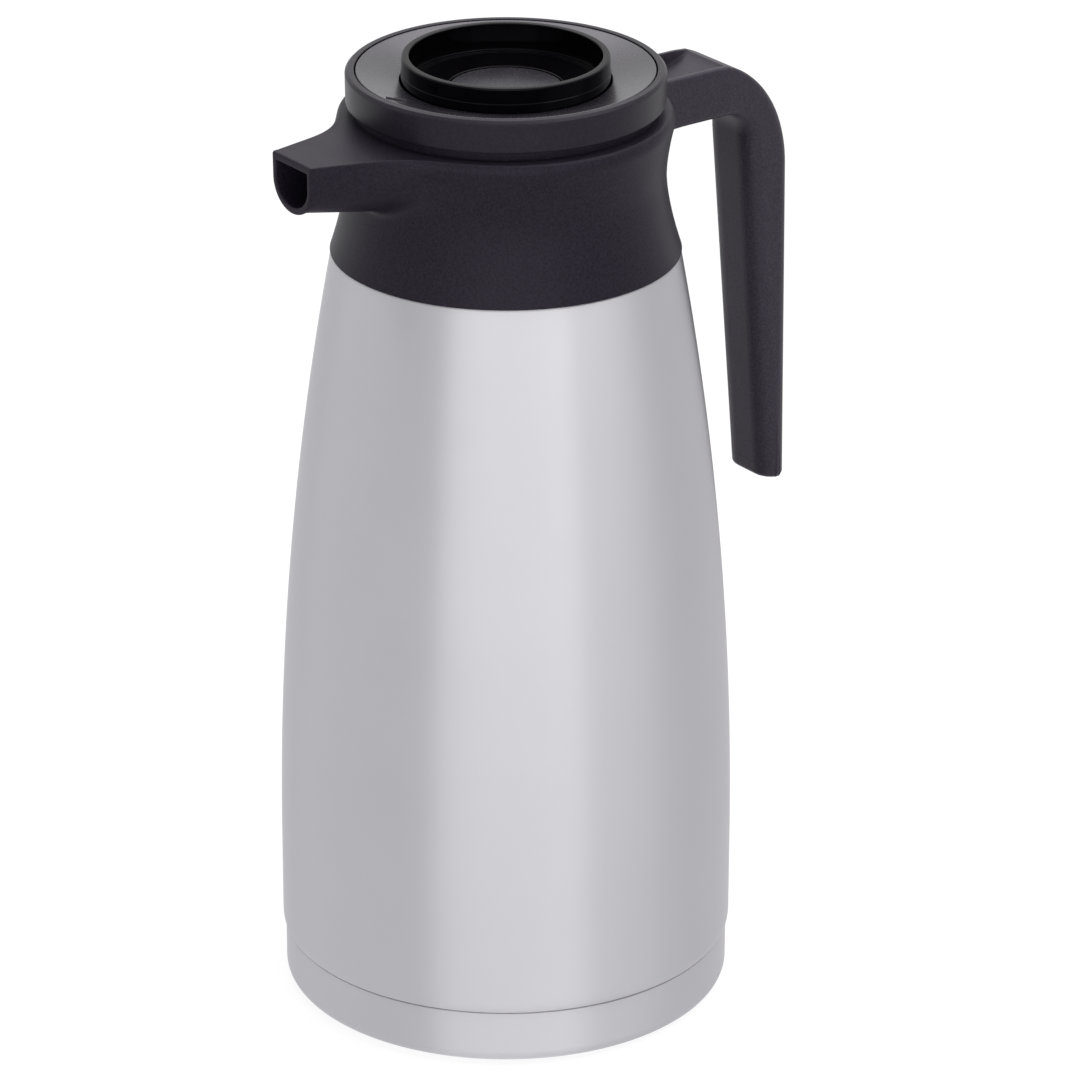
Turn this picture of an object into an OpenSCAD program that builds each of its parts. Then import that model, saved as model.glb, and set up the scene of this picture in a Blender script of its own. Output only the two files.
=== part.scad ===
// Thermal serving carafe: a double-walled steel body, a moulded collar with
// spout and open-ended handle, and a screw-in lid that is brewed through.
// Millimetres, +Z up. The origin is the centre of the foot, on the table.
// The spout points along -X and the handle along +X.

/* [Steel body] */
// Radius of the straight lower part of the outer shell
body_r = 71; // [66:0.5:76]
// Height at which the side starts to curve inwards
straight_h = 50; // [35:1:70]
// Height of the shoulder on which the collar sits
collar_z = 245; // [225:1:265]
// Radius of the outer shell at that shoulder
shoulder_r = 53.2; // [52:0.2:56]
// Height of the seam between shell and base cup
seam_z = 18.8; // [15:0.2:24]
// Step from the shell in to the base cup
base_inset = 0.9; // [0.6:0.1:1.6]
// Corner radius under the base cup
base_corner_r = 4.8; // [3:0.2:7]
// Sheet thickness of the outer shell and base cup
steel_t = 0.8; // [0.6:0.1:1.2]
// Sheet thickness of the inner liner
liner_t = 0.6; // [0.5:0.1:1]
// Evacuated gap between shell and liner
vacuum_gap = 6; // [4:0.5:8]
// Evacuated gap between closing plate and liner, with room for the getter
floor_gap = 4.8; // [4:0.2:8]
// Distance from the base cup's corner in to the soft foot disc
foot_margin = 3.3; // [2:0.1:8]
// Thickness of the soft foot disc
foot_t = 2; // [1.6:0.1:3]

/* [Neck] */
// Width of the steel shoulder from its edge in to the neck
shoulder_w = 7.8; // [6:0.1:9]
// Height of the steel neck above the shoulder
neck_h = 17; // [14:0.5:19]
// Width of the lip from the neck in to the mouth of the liner
lip_w = 5; // [4.4:0.1:6]

/* [Collar] */
// Height of the collar from the shoulder to its top face
collar_h = 44.3; // [42:0.1:47]
// Step from the steel shoulder out to the collar
collar_step = 0.4; // [0.2:0.1:1.5]
// Wall of the collar at its waist
collar_t = 3.3; // [2.6:0.1:4.4]
// Height of the waist above the shoulder
waist_h = 24; // [20:1:27]
// Flare from the waist out to the rounded edge under the lid
edge_flare = 2.5; // [1.5:0.1:4]
// Height of the raised rim above the collar's top face
rim_h = 2.7; // [2:0.1:4]
// Wall of the inner sleeve that carries the thread
sleeve_t = 3; // [2.4:0.1:3.2]

/* [Spout] */
// Distance of the spout's tip from the axis
spout_reach = 78; // [72:1:84]
// Width of the spout at its tip
spout_w = 19.5; // [18:0.5:22]
// Height of the spout at its tip
spout_h = 17; // [15.5:0.5:18.5]
// Wall over and under the duct
spout_wall = 2.3; // [1.8:0.1:2.8]
// Wall on each side of the duct
spout_side_wall = 2.9; // [2.2:0.1:3.2]
// Rise of the flat top towards the tip, in degrees
spout_top_rise = 2.6; // [0:0.2:5]
// Fall of the underside towards the collar, in degrees
spout_fall = 11; // [6:0.5:14]

/* [Handle] */
// Width of the handle
arm_w = 22.5; // [20:0.5:26]
// Distance of the grip's outer face from the axis
grip_r = 102.4; // [98:0.5:110]
// Height of the handle's free end above the table
grip_end_z = 146.5; // [130:1:160]
// Depth of the grip below the bend
grip_depth = 16; // [15:0.5:18]
// Depth of the grip at its free end
grip_end_depth = 8.5; // [7.5:0.5:11]
// Outward lean of the grip's outer face over its length
grip_lean = 1.8; // [0:0.2:4]
// Height of the arm where it leaves the collar
arm_h = 15.5; // [15:0.1:16.5]
// Depth of the thumb trough in the arm
trough_depth = 4.5; // [3:0.1:4.8]
// Thickness of the two ridges beside the trough
ridge_w = 2; // [1.6:0.1:3]
// Thickness of the cover strip inside the grip
cover_t = 2.4; // [1.6:0.1:3]

/* [Lid] */
// Step from the collar's edge in to the lid's skirt
lid_inset = 2.8; // [2:0.1:3.6]
// Height of the lid's skirt
lid_h = 10; // [9:0.1:12]
// Fall of the dished plate from its edge to the ring
plate_dish = 3.3; // [2:0.1:4]
// Inner radius of the brew ring
ring_bore_r = 29.2; // [26:0.1:32]
// Wall of the brew ring
ring_t = 2.3; // [1.8:0.1:3]
// Height of the brew ring above the lid's skirt
ring_rise = 4.2; // [3:0.1:6]
// Depth of the true bore inside the brew ring
ring_bore_h = 8; // [7:0.1:8.4]
// Radius of the opening in the well's floor
throat_r = 17.4; // [15:0.1:18]
// Play between the plug and the liner's mouth
plug_play = 1.4; // [1.1:0.1:2]
// Depth of the plug below the steel lip
plug_depth = 9.7; // [8:0.1:12]
// Wall of the plug
plug_t = 2.4; // [1.8:0.1:2.8]
// Side of the small triangle that marks the pouring side
marker_side = 6.6; // [5:0.2:8]

/* [Thread] */
// Rise of the lid in one full turn
thread_lead = 24; // [21:0.5:27]
// Number of thread lugs on the plug and in the sleeve
thread_starts = 3; // [3]
// Thickness of a thread lug
lug_t = 1.6; // [1.2:0.1:2]
// Depth of the lugs in the sleeve
female_lug_h = 1.6; // [1.4:0.1:1.7]
// Angle that a lug in the sleeve spans, in degrees
female_arc = 60; // [45:1:70]
// Angle that a lug on the plug spans, in degrees
male_arc = 45; // [30:1:60]

/* [Brew flap] */
// Radius of the hinge pin
pin_r = 1.1; // [0.9:0.05:1.3]
// Radius of the steel counterweight
weight_r = 3.6; // [3.2:0.1:3.9]
// Length of the steel counterweight
weight_l = 20; // [16:0.5:21]
// Thickness of the flap's plates
flap_t = 1; // [0.8:0.1:1.2]

/* [Hidden] */
$fn = 96;

STEEL = [0.72, 0.72, 0.73];
BLACK = [0.25, 0.24, 0.26];
LID_GREY = [0.33, 0.33, 0.34];
GLOSS = [0.08, 0.08, 0.09];
SILICONE = [0.45, 0.45, 0.46];

// Clearances
weld_gap = 0.05;   // radial play of a welded or soldered joint
seat_gap = 0.15;   // play between two mouldings that are fastened together
move_gap = 0.3;    // play between two pieces that move apart
run_gap = 0.06;    // radial play of a hinge pin in its hole
sink = 0.4;        // how far a thread lug is rooted in its wall
cut = 1;           // how far a cutting shape runs past what it cuts

// Radii of mouth, collar and lid, each from the one that carries it
neck_r = shoulder_r - shoulder_w;
mouth_r = neck_r - lip_w;
plug_r = mouth_r - plug_play;
waist_r = neck_r + collar_t;
collar_foot_r = shoulder_r + collar_step;
edge_r = waist_r + edge_flare;
lid_r = edge_r - lid_inset;
skirt_t = 2.1;
rim_r = lid_r - skirt_t - move_gap;
ring_r = ring_bore_r + ring_t;

// Levels of the stack, from the table up
cup_gap = 0.5;
foot_proud = 0.8;
closing_lift = 5;
closing_z = seam_z + closing_lift;
liner_floor_z = closing_z + steel_t + floor_gap + liner_t;
neck_top = collar_z + neck_h;
gasket_t = 2;
sleeve_z = neck_top + gasket_t;
collar_top = collar_z + collar_h;
rim_top = collar_top + rim_h;
sleeve_drop = 4.8;
sleeve_top = rim_top - sleeve_drop;
lid_z = rim_top + move_gap;
lid_top = lid_z + lid_h;
ring_top = lid_top + ring_rise;
plug_z = neck_top - plug_depth;

// ---------------------------------------------------------------- curves

// Points on an ellipse from angle a0 to a1 in n steps
function arc_pts(cx, cy, rx, ry, a0, a1, n) =
  [for (i = [0:n]) let(a = a0 + (a1 - a0) * i / n) [cx + rx * cos(a), cy + ry * sin(a)]];

// Straight blend from a to b
function mix(a, b, t) = a + (b - a) * t;

// The side is a straight cylinder, then one long arc that ends at the shoulder
side_drop = body_r - shoulder_r;
side_rise = collar_z - straight_h;
side_arc_r = (side_rise * side_rise + side_drop * side_drop) / (2 * side_drop);
function side_r(z) = z <= straight_h ? body_r
  : body_r - side_arc_r + sqrt(side_arc_r * side_arc_r - pow(z - straight_h, 2));

// The same side from z0 to z1 in n steps, moved in by inset
function side_pts(z0, z1, inset, n) =
  [for (i = [0:n]) let(z = mix(z0, z1, i / n)) [side_r(z) - inset, z]];

function backwards(pts) = [for (i = [len(pts) - 1:-1:0]) pts[i]];

// All points but the first, which the outline already has
function rest(pts) = [for (i = [1:len(pts) - 1]) pts[i]];

module revolve(pts) {
  rotate_extrude() polygon(pts);
}

// A prism of a side outline (x, z), centred on the plane y = 0
module slab(pts, width) {
  rotate([90, 0, 0])
    linear_extrude(height = width, center = true) polygon(pts);
}

// A cylinder along Y, centred on the plane y = 0
module rod_y(x, z, r, length) {
  translate([x, 0, z])
    rotate([90, 0, 0])
      cylinder(h = length, r = r, center = true);
}

// A closed skin over rings of equally many points, each ring counter-clockwise
// when it is seen from the end of the sweep
module skin(rings) {
  n = len(rings[0]);
  last = len(rings) - 1;
  points = [for (ring = rings) for (p = ring) p];
  sides = [for (k = [0:last - 1]) for (i = [0:n - 1])
    let(j = (i + 1) % n)
    for (face = [
      [k * n + i, (k + 1) * n + i, k * n + j],
      [k * n + j, (k + 1) * n + i, (k + 1) * n + j]]) face];
  first_cap = [for (i = [0:n - 1]) i];
  last_cap = [for (i = [n - 1:-1:0]) last * n + i];
  polyhedron(points = points, faces = concat(sides, [first_cap, last_cap]), convexity = 8);
}

// ------------------------------------------------------------ steel body

side_steps = 26;
roll_h = 3.2;
roll_in = 0.7;
shoulder_corner = 1;
neck_bead = 0.7;
neck_bead_h = 2;
neck_bead_lift = 7;
neck_bead_z = collar_z + neck_bead_lift;

// Outline of the shell from its rolled bottom edge to the neck, moved in by t
function shell_side(t) = concat(
  arc_pts(body_r - roll_in - t, seam_z + roll_h, roll_in, roll_h, -90, 0, 5),
  side_pts(straight_h, collar_z - shoulder_corner - t, t, side_steps));

module outer_shell() {
  t = steel_t;
  corner_x = side_r(collar_z - shoulder_corner) - shoulder_corner;
  outside = concat(
    shell_side(0),
    rest(arc_pts(corner_x, collar_z - shoulder_corner, shoulder_corner, shoulder_corner, 0, 90, 5)),
    [[neck_r, collar_z],
     [neck_r, neck_bead_z - neck_bead_h],
     [neck_r + neck_bead, neck_bead_z],
     [neck_r, neck_bead_z + neck_bead_h],
     [neck_r, neck_top - t]],
    arc_pts(neck_r - t, neck_top - t, t, t, 0, 90, 4),
    [[mouth_r + liner_t + weld_gap, neck_top]]);
  inside = concat(
    [[mouth_r + liner_t + weld_gap, neck_top - t],
     [neck_r - t, neck_top - t],
     [neck_r - t, collar_z - t]],
    backwards(shell_side(t)));
  color(STEEL) revolve(concat(outside, inside));
}

liner_corner = 9;
liner_punt = 2.5;
liner_shoulder_h = 6;
liner_shoulder_z = collar_z - steel_t - vacuum_gap / 2 - liner_shoulder_h;

// Outline of the liner from the middle of its floor to the mouth, moved in by t
function liner_side(t) =
  let(inset = steel_t + vacuum_gap + t,
      corner = liner_corner - t,
      floor_z = liner_floor_z - liner_t + t,
      wall_r = side_r(liner_floor_z + liner_corner) - inset,
      top_r = side_r(liner_shoulder_z) - inset,
      throat = mouth_r + liner_t - t)
  concat(
    [[0, floor_z + liner_punt], [wall_r - corner - liner_corner, floor_z]],
    arc_pts(wall_r - corner, floor_z + corner, corner, corner, -90, 0, 8),
    side_pts(straight_h, liner_shoulder_z, inset, 20),
    rest(arc_pts(throat, liner_shoulder_z, top_r - throat, liner_shoulder_h - t, 0, 90, 6)),
    [[throat, neck_top]]);

module inner_liner() {
  color(STEEL) revolve(concat(liner_side(0), backwards(liner_side(liner_t))));
}

closing_dimple_r = 8;
closing_dimple = 1.2;
closing_hole_r = 1.2;
closing_rim_h = 3;

module vacuum_bottom() {
  r = body_r - steel_t - weld_gap;
  t = steel_t;
  z = closing_z;
  color(STEEL) revolve([
    [closing_hole_r, z + closing_dimple],
    [closing_dimple_r - closing_dimple, z + closing_dimple],
    [closing_dimple_r, z],
    [r - t, z],
    [r - t, z - closing_rim_h / 2],
    [r, z - closing_rim_h / 2],
    [r, z + t],
    [closing_dimple_r - t / 2, z + t],
    [closing_dimple_r - closing_dimple - t / 2, z + t + closing_dimple],
    [closing_hole_r, z + t + closing_dimple]]);
}

getter_x = 26;
getter_r = 7;
getter_h = 2.4;

// Shallow metal dish that holds the getter tablet, on the closing plate
module getter() {
  rim = 1;
  color(STEEL)
    translate([getter_x, 0, closing_z + steel_t])
      difference() {
        cylinder(h = getter_h, r = getter_r);
        translate([0, 0, getter_h - rim])
          cylinder(h = rim + cut, r = getter_r - rim);
      }
}

// Solder bead that closes the evacuation hole from below
module vacuum_seal() {
  bead_r = 3;
  bead_h = 1.6;
  top = closing_z + closing_dimple;
  color(STEEL) revolve(concat(
    [[0, top]],
    arc_pts(0, top, bead_r, bead_h, 0, -90, 8)));
}

foot_r = body_r - base_inset - base_corner_r - foot_margin;

module base_cup() {
  t = steel_t;
  r = body_r - base_inset;
  rim_z = seam_z - cup_gap;
  spigot = body_r - roll_in - t - seat_gap;
  spigot_top = seam_z + roll_h - cup_gap;
  corner = base_corner_r;
  pad_r = foot_r + seat_gap;
  color(STEEL) revolve(concat(
    [[0, foot_t], [pad_r, foot_t], [pad_r, foot_proud]],
    arc_pts(r - corner, foot_proud + corner, corner, corner, -90, 0, 8),
    [[r, rim_z], [spigot, rim_z], [spigot, spigot_top], [spigot - t, spigot_top],
     [spigot - t, rim_z - t], [r - t, rim_z - t]],
    arc_pts(r - corner, foot_proud + corner, corner - t, corner - t, 0, -90, 8),
    [[pad_r + t, foot_proud + t], [pad_r + t, foot_t + t], [0, foot_t + t]]));
}

module foot_pad() {
  edge = 0.5;
  color(SILICONE) revolve([
    [0, 0], [foot_r - edge, 0], [foot_r, edge], [foot_r, foot_t], [0, foot_t]]);
}

// ---------------------------------------------------------------- collar

collar_bore_r = neck_r + seat_gap;
sleeve_r = collar_bore_r - seat_gap;
thread_wall_r = sleeve_r - sleeve_t;
edge_drop = 3.3;
edge_round = 1.6;
lower_power = 1.6;
upper_power = 1.7;
rim_edge = 0.4;

// Outside of the collar: flared foot, waist, and a rounded edge below the lid
function collar_side(grow) =
  let(waist_z = collar_z + waist_h, edge_z = collar_top - edge_drop)
  concat(
    [for (i = [0:10]) let(u = 1 - i / 10)
      [waist_r + grow + (collar_foot_r - waist_r) * pow(u, lower_power), waist_z - waist_h * u]],
    [for (i = [1:8]) let(u = i / 8)
      [waist_r + grow + (edge_r - waist_r) * pow(u, upper_power), mix(waist_z, edge_z, u)]],
    rest(arc_pts(edge_r - edge_round, edge_z, edge_round + grow, edge_drop + grow, 0, 90, 6)));

module collar_body() {
  bead_play = neck_bead + seat_gap;
  revolve(concat(
    [[collar_bore_r, collar_z]],
    collar_side(0),
    [[rim_r, collar_top], [rim_r, rim_top - rim_edge], [rim_r - rim_edge, rim_top],
     [thread_wall_r, rim_top], [thread_wall_r, sleeve_top + seat_gap],
     [collar_bore_r, sleeve_top + seat_gap],
     [collar_bore_r, neck_bead_z + neck_bead_h],
     [collar_bore_r + bead_play, neck_bead_z],
     [collar_bore_r, neck_bead_z - neck_bead_h]]));
}

// Spout -----------------------------------------------------------------
// Each section across the spout is a D: a flat top, upright sides and half an
// ellipse below. d is the distance back from the tip.
spout_side_slope = 0.25;
spout_fillet_reach = 7.3;
spout_fillet_x = waist_r + spout_fillet_reach;
spout_fillet = 0.058;
spout_root_x = collar_bore_r - cut;
spout_lift = 1;
spout_tip_top = collar_top + spout_lift;
spout_round = 0.575;
spout_sections = 14;

function spout_half_w(x) = spout_w / 2 + spout_side_slope * (spout_reach - x)
  + spout_fillet * pow(max(0, spout_fillet_x - x), 2);
function spout_top_z(x) = spout_tip_top - tan(spout_top_rise) * (spout_reach - x);
function spout_bottom_z(x) = spout_tip_top - spout_h - tan(spout_fall) * (spout_reach - x);

// One D section at distance x from the axis
function d_section(x, half_w, top, bottom) =
  let(belly = (top - bottom) * spout_round)
  concat(
    [[-x, half_w, top]],
    [for (i = [0:12]) let(a = 180 * i / 12)
      [-x, half_w * cos(a), bottom + belly - belly * sin(a)]],
    [[-x, -half_w, top]]);

// Stations crowd towards the collar, where the sides curve most
function spout_x(i) = mix(spout_root_x, spout_reach, pow(i / spout_sections, 1.4));

module spout_outside() {
  skin([for (i = [0:spout_sections]) let(x = spout_x(i))
    d_section(x, spout_half_w(x), spout_top_z(x), spout_bottom_z(x))]);
}

duct_start_x = thread_wall_r - cut;
duct_flare = 0.06;

module spout_duct() {
  function half(x) = spout_w / 2 - spout_side_wall + duct_flare * (spout_reach - x);
  skin([for (x = [duct_start_x, spout_reach + cut])
    d_section(x, half(x), spout_top_z(x) - spout_wall, spout_bottom_z(x) + spout_wall)]);
}

// Tongue that carries the handle -------------------------------------------
arm_lift = 0.7;
arm_top = collar_top + arm_lift;
arm_bottom = arm_top - arm_h;
tongue_side = 4.75;
tongue_w = arm_w - 2 * tongue_side;
tongue_l = 23.3;
tongue_end = waist_r + tongue_l;
tongue_floor = 2.6;
tongue_roof = 2.2;
tongue_z = arm_bottom + tongue_floor;
tongue_h = arm_h - trough_depth - tongue_floor - tongue_roof;
screw_x = [waist_r + 9.3, waist_r + 18.3];
screw_r = 1.5;
pilot_r = screw_r + run_gap;

trough_w = arm_w - 2 * ridge_w;
trough_z = arm_top - trough_depth;
trough_lead = 1.2;
trough_start = rim_r + trough_lead;
trough_floor_l = 14.3;
trough_l = 25.8;
trough_slope_x = waist_r + trough_floor_l;
trough_end_x = waist_r + trough_l;
trough_slope = (arm_top - trough_z) / (trough_end_x - trough_slope_x);

// Thumb trough: flat beside the lid, then sloping up to the top of the arm
module trough() {
  slab([[trough_start, trough_z], [trough_slope_x, trough_z],
    [trough_end_x + cut, arm_top + cut * trough_slope], [trough_start, arm_top + cut * trough_slope]],
    trough_w);
}

module screw_holes(r, z0, z1) {
  for (x = screw_x)
    translate([x, 0, z0]) cylinder(h = z1 - z0, r = r);
}

module collar() {
  color(BLACK)
    difference() {
      union() {
        collar_body();
        difference() {
          spout_outside();
          cylinder(h = 2 * collar_top, r = collar_bore_r + cut);
        }
        translate([collar_bore_r + cut, -tongue_w / 2, tongue_z])
          cube([tongue_end - collar_bore_r - cut, tongue_w, tongue_h]);
      }
      spout_duct();
      trough();
      screw_holes(pilot_r, tongue_z - cut, tongue_z + tongue_h + cut);
    }
}

// Thread ------------------------------------------------------------------
// A lug is a ridge along a right-handed helix. Its section is a trapezium:
// root wall radius, crest radius and half thickness at each.
function lug_ring(a, z, root_r, crest_r, half_root, half_crest) = [
  [root_r * cos(a), root_r * sin(a), z - half_root],
  [crest_r * cos(a), crest_r * sin(a), z - half_crest],
  [crest_r * cos(a), crest_r * sin(a), z + half_crest],
  [root_r * cos(a), root_r * sin(a), z + half_root]];

lug_step = 5;
lug_crest = 0.65;

// Lugs centred on angle a0, a0 + 360 / starts and so on; mid_z is their middle
module lugs(root_r, crest_r, arc, mid_z, a0) {
  steps = ceil(arc / lug_step);
  inward = crest_r < root_r;
  for (s = [0:thread_starts - 1]) {
    rings = [for (i = [0:steps])
      let(turn = arc * (i / steps - 0.5), a = a0 + s * 360 / thread_starts + turn,
          ring = lug_ring(a, mid_z + thread_lead * turn / 360, root_r, crest_r,
            lug_t / 2, lug_t / 2 * lug_crest))
      inward ? ring : backwards(ring)];
    skin(rings);
  }
}

lug_play = 0.5;
lug_mid_z = (sleeve_z + sleeve_top) / 2;
male_lug_z = lug_mid_z - lug_t - lug_play;
female_crest_r = thread_wall_r - female_lug_h;
thread_play = 0.4;
male_crest_r = thread_wall_r - thread_play;
slot_side = 1;
slot_roof = 1.5;
sleeve_slot_w = spout_w - 2 * spout_side_wall + 2 * slot_side;

module mouth_sleeve() {
  slot_bottom = spout_bottom_z(sleeve_r) + spout_wall;
  slot_top = spout_top_z(sleeve_r) - spout_wall;
  color(BLACK)
    difference() {
      union() {
        revolve([[thread_wall_r, sleeve_z], [sleeve_r, sleeve_z],
          [sleeve_r, sleeve_top], [thread_wall_r, sleeve_top]]);
        lugs(thread_wall_r + sink, female_crest_r, female_arc, lug_mid_z, 0);
      }
      translate([-sleeve_r - cut, -sleeve_slot_w / 2, slot_bottom])
        cube([sleeve_t + 2 * cut, sleeve_slot_w, min(slot_top, sleeve_top - slot_roof) - slot_bottom]);
    }
}

gasket_inset = 1;

module neck_gasket() {
  inner = mouth_r + gasket_inset;
  color(SILICONE) revolve([[inner, neck_top], [sleeve_r, neck_top],
    [sleeve_r, sleeve_z], [inner, sleeve_z]]);
}

// ---------------------------------------------------------------- handle

arm_l = 26.3;
bend_start_x = waist_r + arm_l;
bend_lift = 5;
bend_z = collar_z + bend_lift;
bend_rise = arm_top - bend_z;
bend_back = grip_r - bend_start_x;
bend_r = (bend_back * bend_back + bend_rise * bend_rise) / (2 * bend_back);
bend_a0 = asin(bend_rise / bend_r);
inner_bend_r = 10;
inner_bend_back = 0.4;
inner_bend_lift = 0.5;
inner_bend_x = grip_r - grip_depth - inner_bend_r - inner_bend_back;
inner_bend_z = arm_bottom - inner_bend_r + inner_bend_lift;
end_round = 1.5;
end_round_h = 1.6;
arm_root = 5;
arm_start = waist_r - arm_root;
arch_h = 2.4;
arch_l = 12.3;
arch_end_x = waist_r + arch_l;
arm_rise_x = waist_r + trough_floor_l;

arm_steps = 5;
bend_steps = 12;
grip_steps = 5;
end_steps = 2;

grip_out_end = grip_r + grip_lean;
grip_in_end = grip_out_end - grip_end_depth;
function grip_in_x(z) =
  mix(inner_bend_x + inner_bend_r, grip_in_end, (inner_bend_z - z) / (inner_bend_z - grip_end_z));

// Underside of the arm: an arch by the collar, then a slight rise to the bend
function arm_under(x) = arm_bottom
  - arch_h * pow(max(0, (arch_end_x - x) / (arch_end_x - arm_start)), 2)
  + inner_bend_lift * max(0, (x - arm_rise_x) / (inner_bend_x - arm_rise_x));

// Outer and inner edge of the handle, seen from the side, in matching steps
handle_out = concat(
  [for (i = [0:arm_steps]) [mix(arm_start, bend_start_x, i / arm_steps), arm_top]],
  [for (i = [1:bend_steps]) let(a = mix(bend_a0, 0, i / bend_steps))
    [grip_r - bend_r + bend_r * cos(a), bend_z + bend_r * sin(a)]],
  [for (i = [1:grip_steps]) let(u = i / grip_steps)
    [mix(grip_r, grip_out_end, u), mix(bend_z, grip_end_z + end_round_h, u)]]);
handle_in = concat(
  [for (i = [0:arm_steps]) let(x = mix(arm_start, inner_bend_x, i / arm_steps))
    [x, arm_under(x)]],
  [for (i = [1:bend_steps]) let(a = mix(90, 0, i / bend_steps))
    [inner_bend_x + inner_bend_r * cos(a), inner_bend_z + inner_bend_r * sin(a)]],
  [for (i = [1:grip_steps]) let(z = mix(inner_bend_z, grip_end_z + end_round_h, i / grip_steps))
    [grip_in_x(z), z]]);

arm_corner = 1.2;
grip_corner = 3.8;
inner_corner = 2.4;

// A section across the handle: a rectangle with rounded corners between the
// outer point o and the inner point i
function handle_ring(o, i, width, r_out, r_in) =
  let(depth = norm(o - i), dir = (o - i) / depth, half = width / 2,
      flat = concat(
        arc_pts(r_in, -half + r_in, r_in, r_in, 180, 270, 3),
        arc_pts(depth - r_out, -half + r_out, r_out, r_out, 270, 360, 3),
        arc_pts(depth - r_out, half - r_out, r_out, r_out, 0, 90, 3),
        arc_pts(r_in, half - r_in, r_in, r_in, 90, 180, 3)))
  [for (p = flat) [i[0] + dir[0] * p[0], p[1], i[1] + dir[1] * p[0]]];

// Share of the way from arm to grip at step k
function bend_share(k) = min(1, max(0, (k - arm_steps) / bend_steps));

// The free end is rounded over: at angle a of the quarter turn, the section
// has drawn in by e and dropped towards the end
function end_ring(a) =
  let(e = end_round * (1 - cos(a)),
      z = grip_end_z + end_round_h * (1 - sin(a)),
      o = [grip_out_end - e, z], i = [grip_in_end + e, z])
  handle_ring(o, i, arm_w - 2 * e, grip_corner - e, inner_corner - e);

module handle_form() {
  rings = concat(
    [for (k = [0:len(handle_out) - 1])
      handle_ring(handle_out[k], handle_in[k], arm_w,
        mix(arm_corner, grip_corner, bend_share(k)), inner_corner)],
    [for (k = [1:end_steps]) end_ring(90 * k / end_steps)]);
  skin([for (ring = rings) backwards(ring)]);
}

cover_side = 4.25;
cover_w = arm_w - 2 * cover_side;
cover_drop = 4;
cover_lift = 6;
cover_sink = 0.2;
cover_top = inner_bend_z - cover_drop;
cover_bottom = grip_end_z + cover_lift;

// Side outline of the cover strip and of the recess that takes it
function cover_outline(play, proud) = [
  [grip_in_x(cover_top) - proud, cover_top + play],
  [grip_in_x(cover_top) + cover_t + play, cover_top + play],
  [grip_in_x(cover_bottom) + cover_t + play, cover_bottom - play],
  [grip_in_x(cover_bottom) - proud, cover_bottom - play]];

screw_head_r = 3.1;
screw_head_h = 1.4;
screw_head_z = arm_bottom;
screw_tip_gap = 0.5;

module handle() {
  color(BLACK)
    difference() {
      handle_form();
      revolve(concat([[0, collar_z]], collar_side(seat_gap),
        [[edge_r - edge_round, rim_top], [0, rim_top]]));
      trough();
      translate([0, -tongue_w / 2 - seat_gap, tongue_z])
        cube([tongue_end + seat_gap, tongue_w + 2 * seat_gap, tongue_h + seat_gap]);
      screw_holes(pilot_r, arm_bottom - cut, tongue_z + cut);
      screw_holes(screw_head_r + seat_gap, arm_bottom - arch_h - cut, screw_head_z + screw_head_h);
      slab(cover_outline(seat_gap, 2 * cut), cover_w + 2 * seat_gap);
    }
}

module handle_cover() {
  color(BLACK) slab(cover_outline(0, -cover_sink), cover_w);
}

// Pan-head screws, driven up through the arm into the tongue
module handle_screws() {
  slot_w = 0.9;
  slot_h = 0.7;
  shank_h = tongue_z + tongue_h - screw_head_z - screw_tip_gap;
  color(STEEL)
    for (x = screw_x)
      translate([x, 0, screw_head_z])
        difference() {
          union() {
            cylinder(h = screw_head_h, r = screw_head_r);
            cylinder(h = shank_h, r = screw_r);
          }
          translate([-screw_head_r, -slot_w / 2, -cut])
            cube([2 * screw_head_r, slot_w, cut + slot_h]);
        }
}

// ------------------------------------------------------------------- lid

flange_t = 2;
flange_top = lid_z + flange_t;
funnel_flange_t = 1.7;
plate_t = 1.8;
plate_margin = 3.1;
plate_r = lid_r - plate_margin;
plate_hole_play = 0.6;
plate_hole_r = ring_r + plate_hole_play;
plate_drop = 0.1;
plate_edge_z = lid_top - plate_drop;
ledge_w = 1;
ledge_r = plate_r - ledge_w;
groove_w = 0.4;
groove_h = 3.5;
groove_foot = 5;
skirt_flare = 0.1;
skirt_foot = 0.4;
bevel = 1;
leg_t = 1.8;
leg_r = ledge_r - seat_gap;
flange_play = 1.35;
funnel_flange_r = leg_r - leg_t - flange_play;

module lid_rim() {
  color(BLACK) revolve([
    [lid_r - skirt_t, lid_z], [lid_r - skirt_foot, lid_z], [lid_r, lid_z + skirt_foot],
    [lid_r + skirt_flare, lid_top - bevel], [lid_r + skirt_flare - bevel, lid_top],
    [plate_r + groove_w, lid_top], [plate_r + groove_w, lid_top - groove_h],
    [ledge_r, lid_top - groove_foot], [ledge_r, flange_top],
    [lid_r - skirt_t, flange_top]]);
}

// Dished plate with the pouring mark; a leg stands on the plug's flange
module lid_plate() {
  leg_root = 1;
  inner_z = plate_edge_z - plate_dish;
  under_edge = plate_edge_z - plate_t;
  mark_margin = 0.9;
  mark_h = 0.4;
  mark_r = marker_side / sqrt(3);
  mark_x = plate_r - mark_margin - mark_r;
  mark_z = mix(inner_z, plate_edge_z, (mark_x - plate_hole_r) / (plate_r - plate_hole_r));
  tilt = atan(plate_dish / (plate_r - plate_hole_r));
  color(LID_GREY) {
    revolve([
      [plate_hole_r, inner_z], [plate_hole_r, inner_z - plate_t],
      [leg_r - leg_t, under_edge - leg_root], [leg_r - leg_t, flange_top], [leg_r, flange_top],
      [leg_r, under_edge - leg_root], [plate_r, under_edge], [plate_r, plate_edge_z]]);
    translate([-mark_x, 0, mark_z])
      rotate([0, tilt, 180])
        translate([0, 0, -mark_h])
          cylinder(h = 2 * mark_h, r = mark_r, $fn = 3);
  }
}

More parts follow.
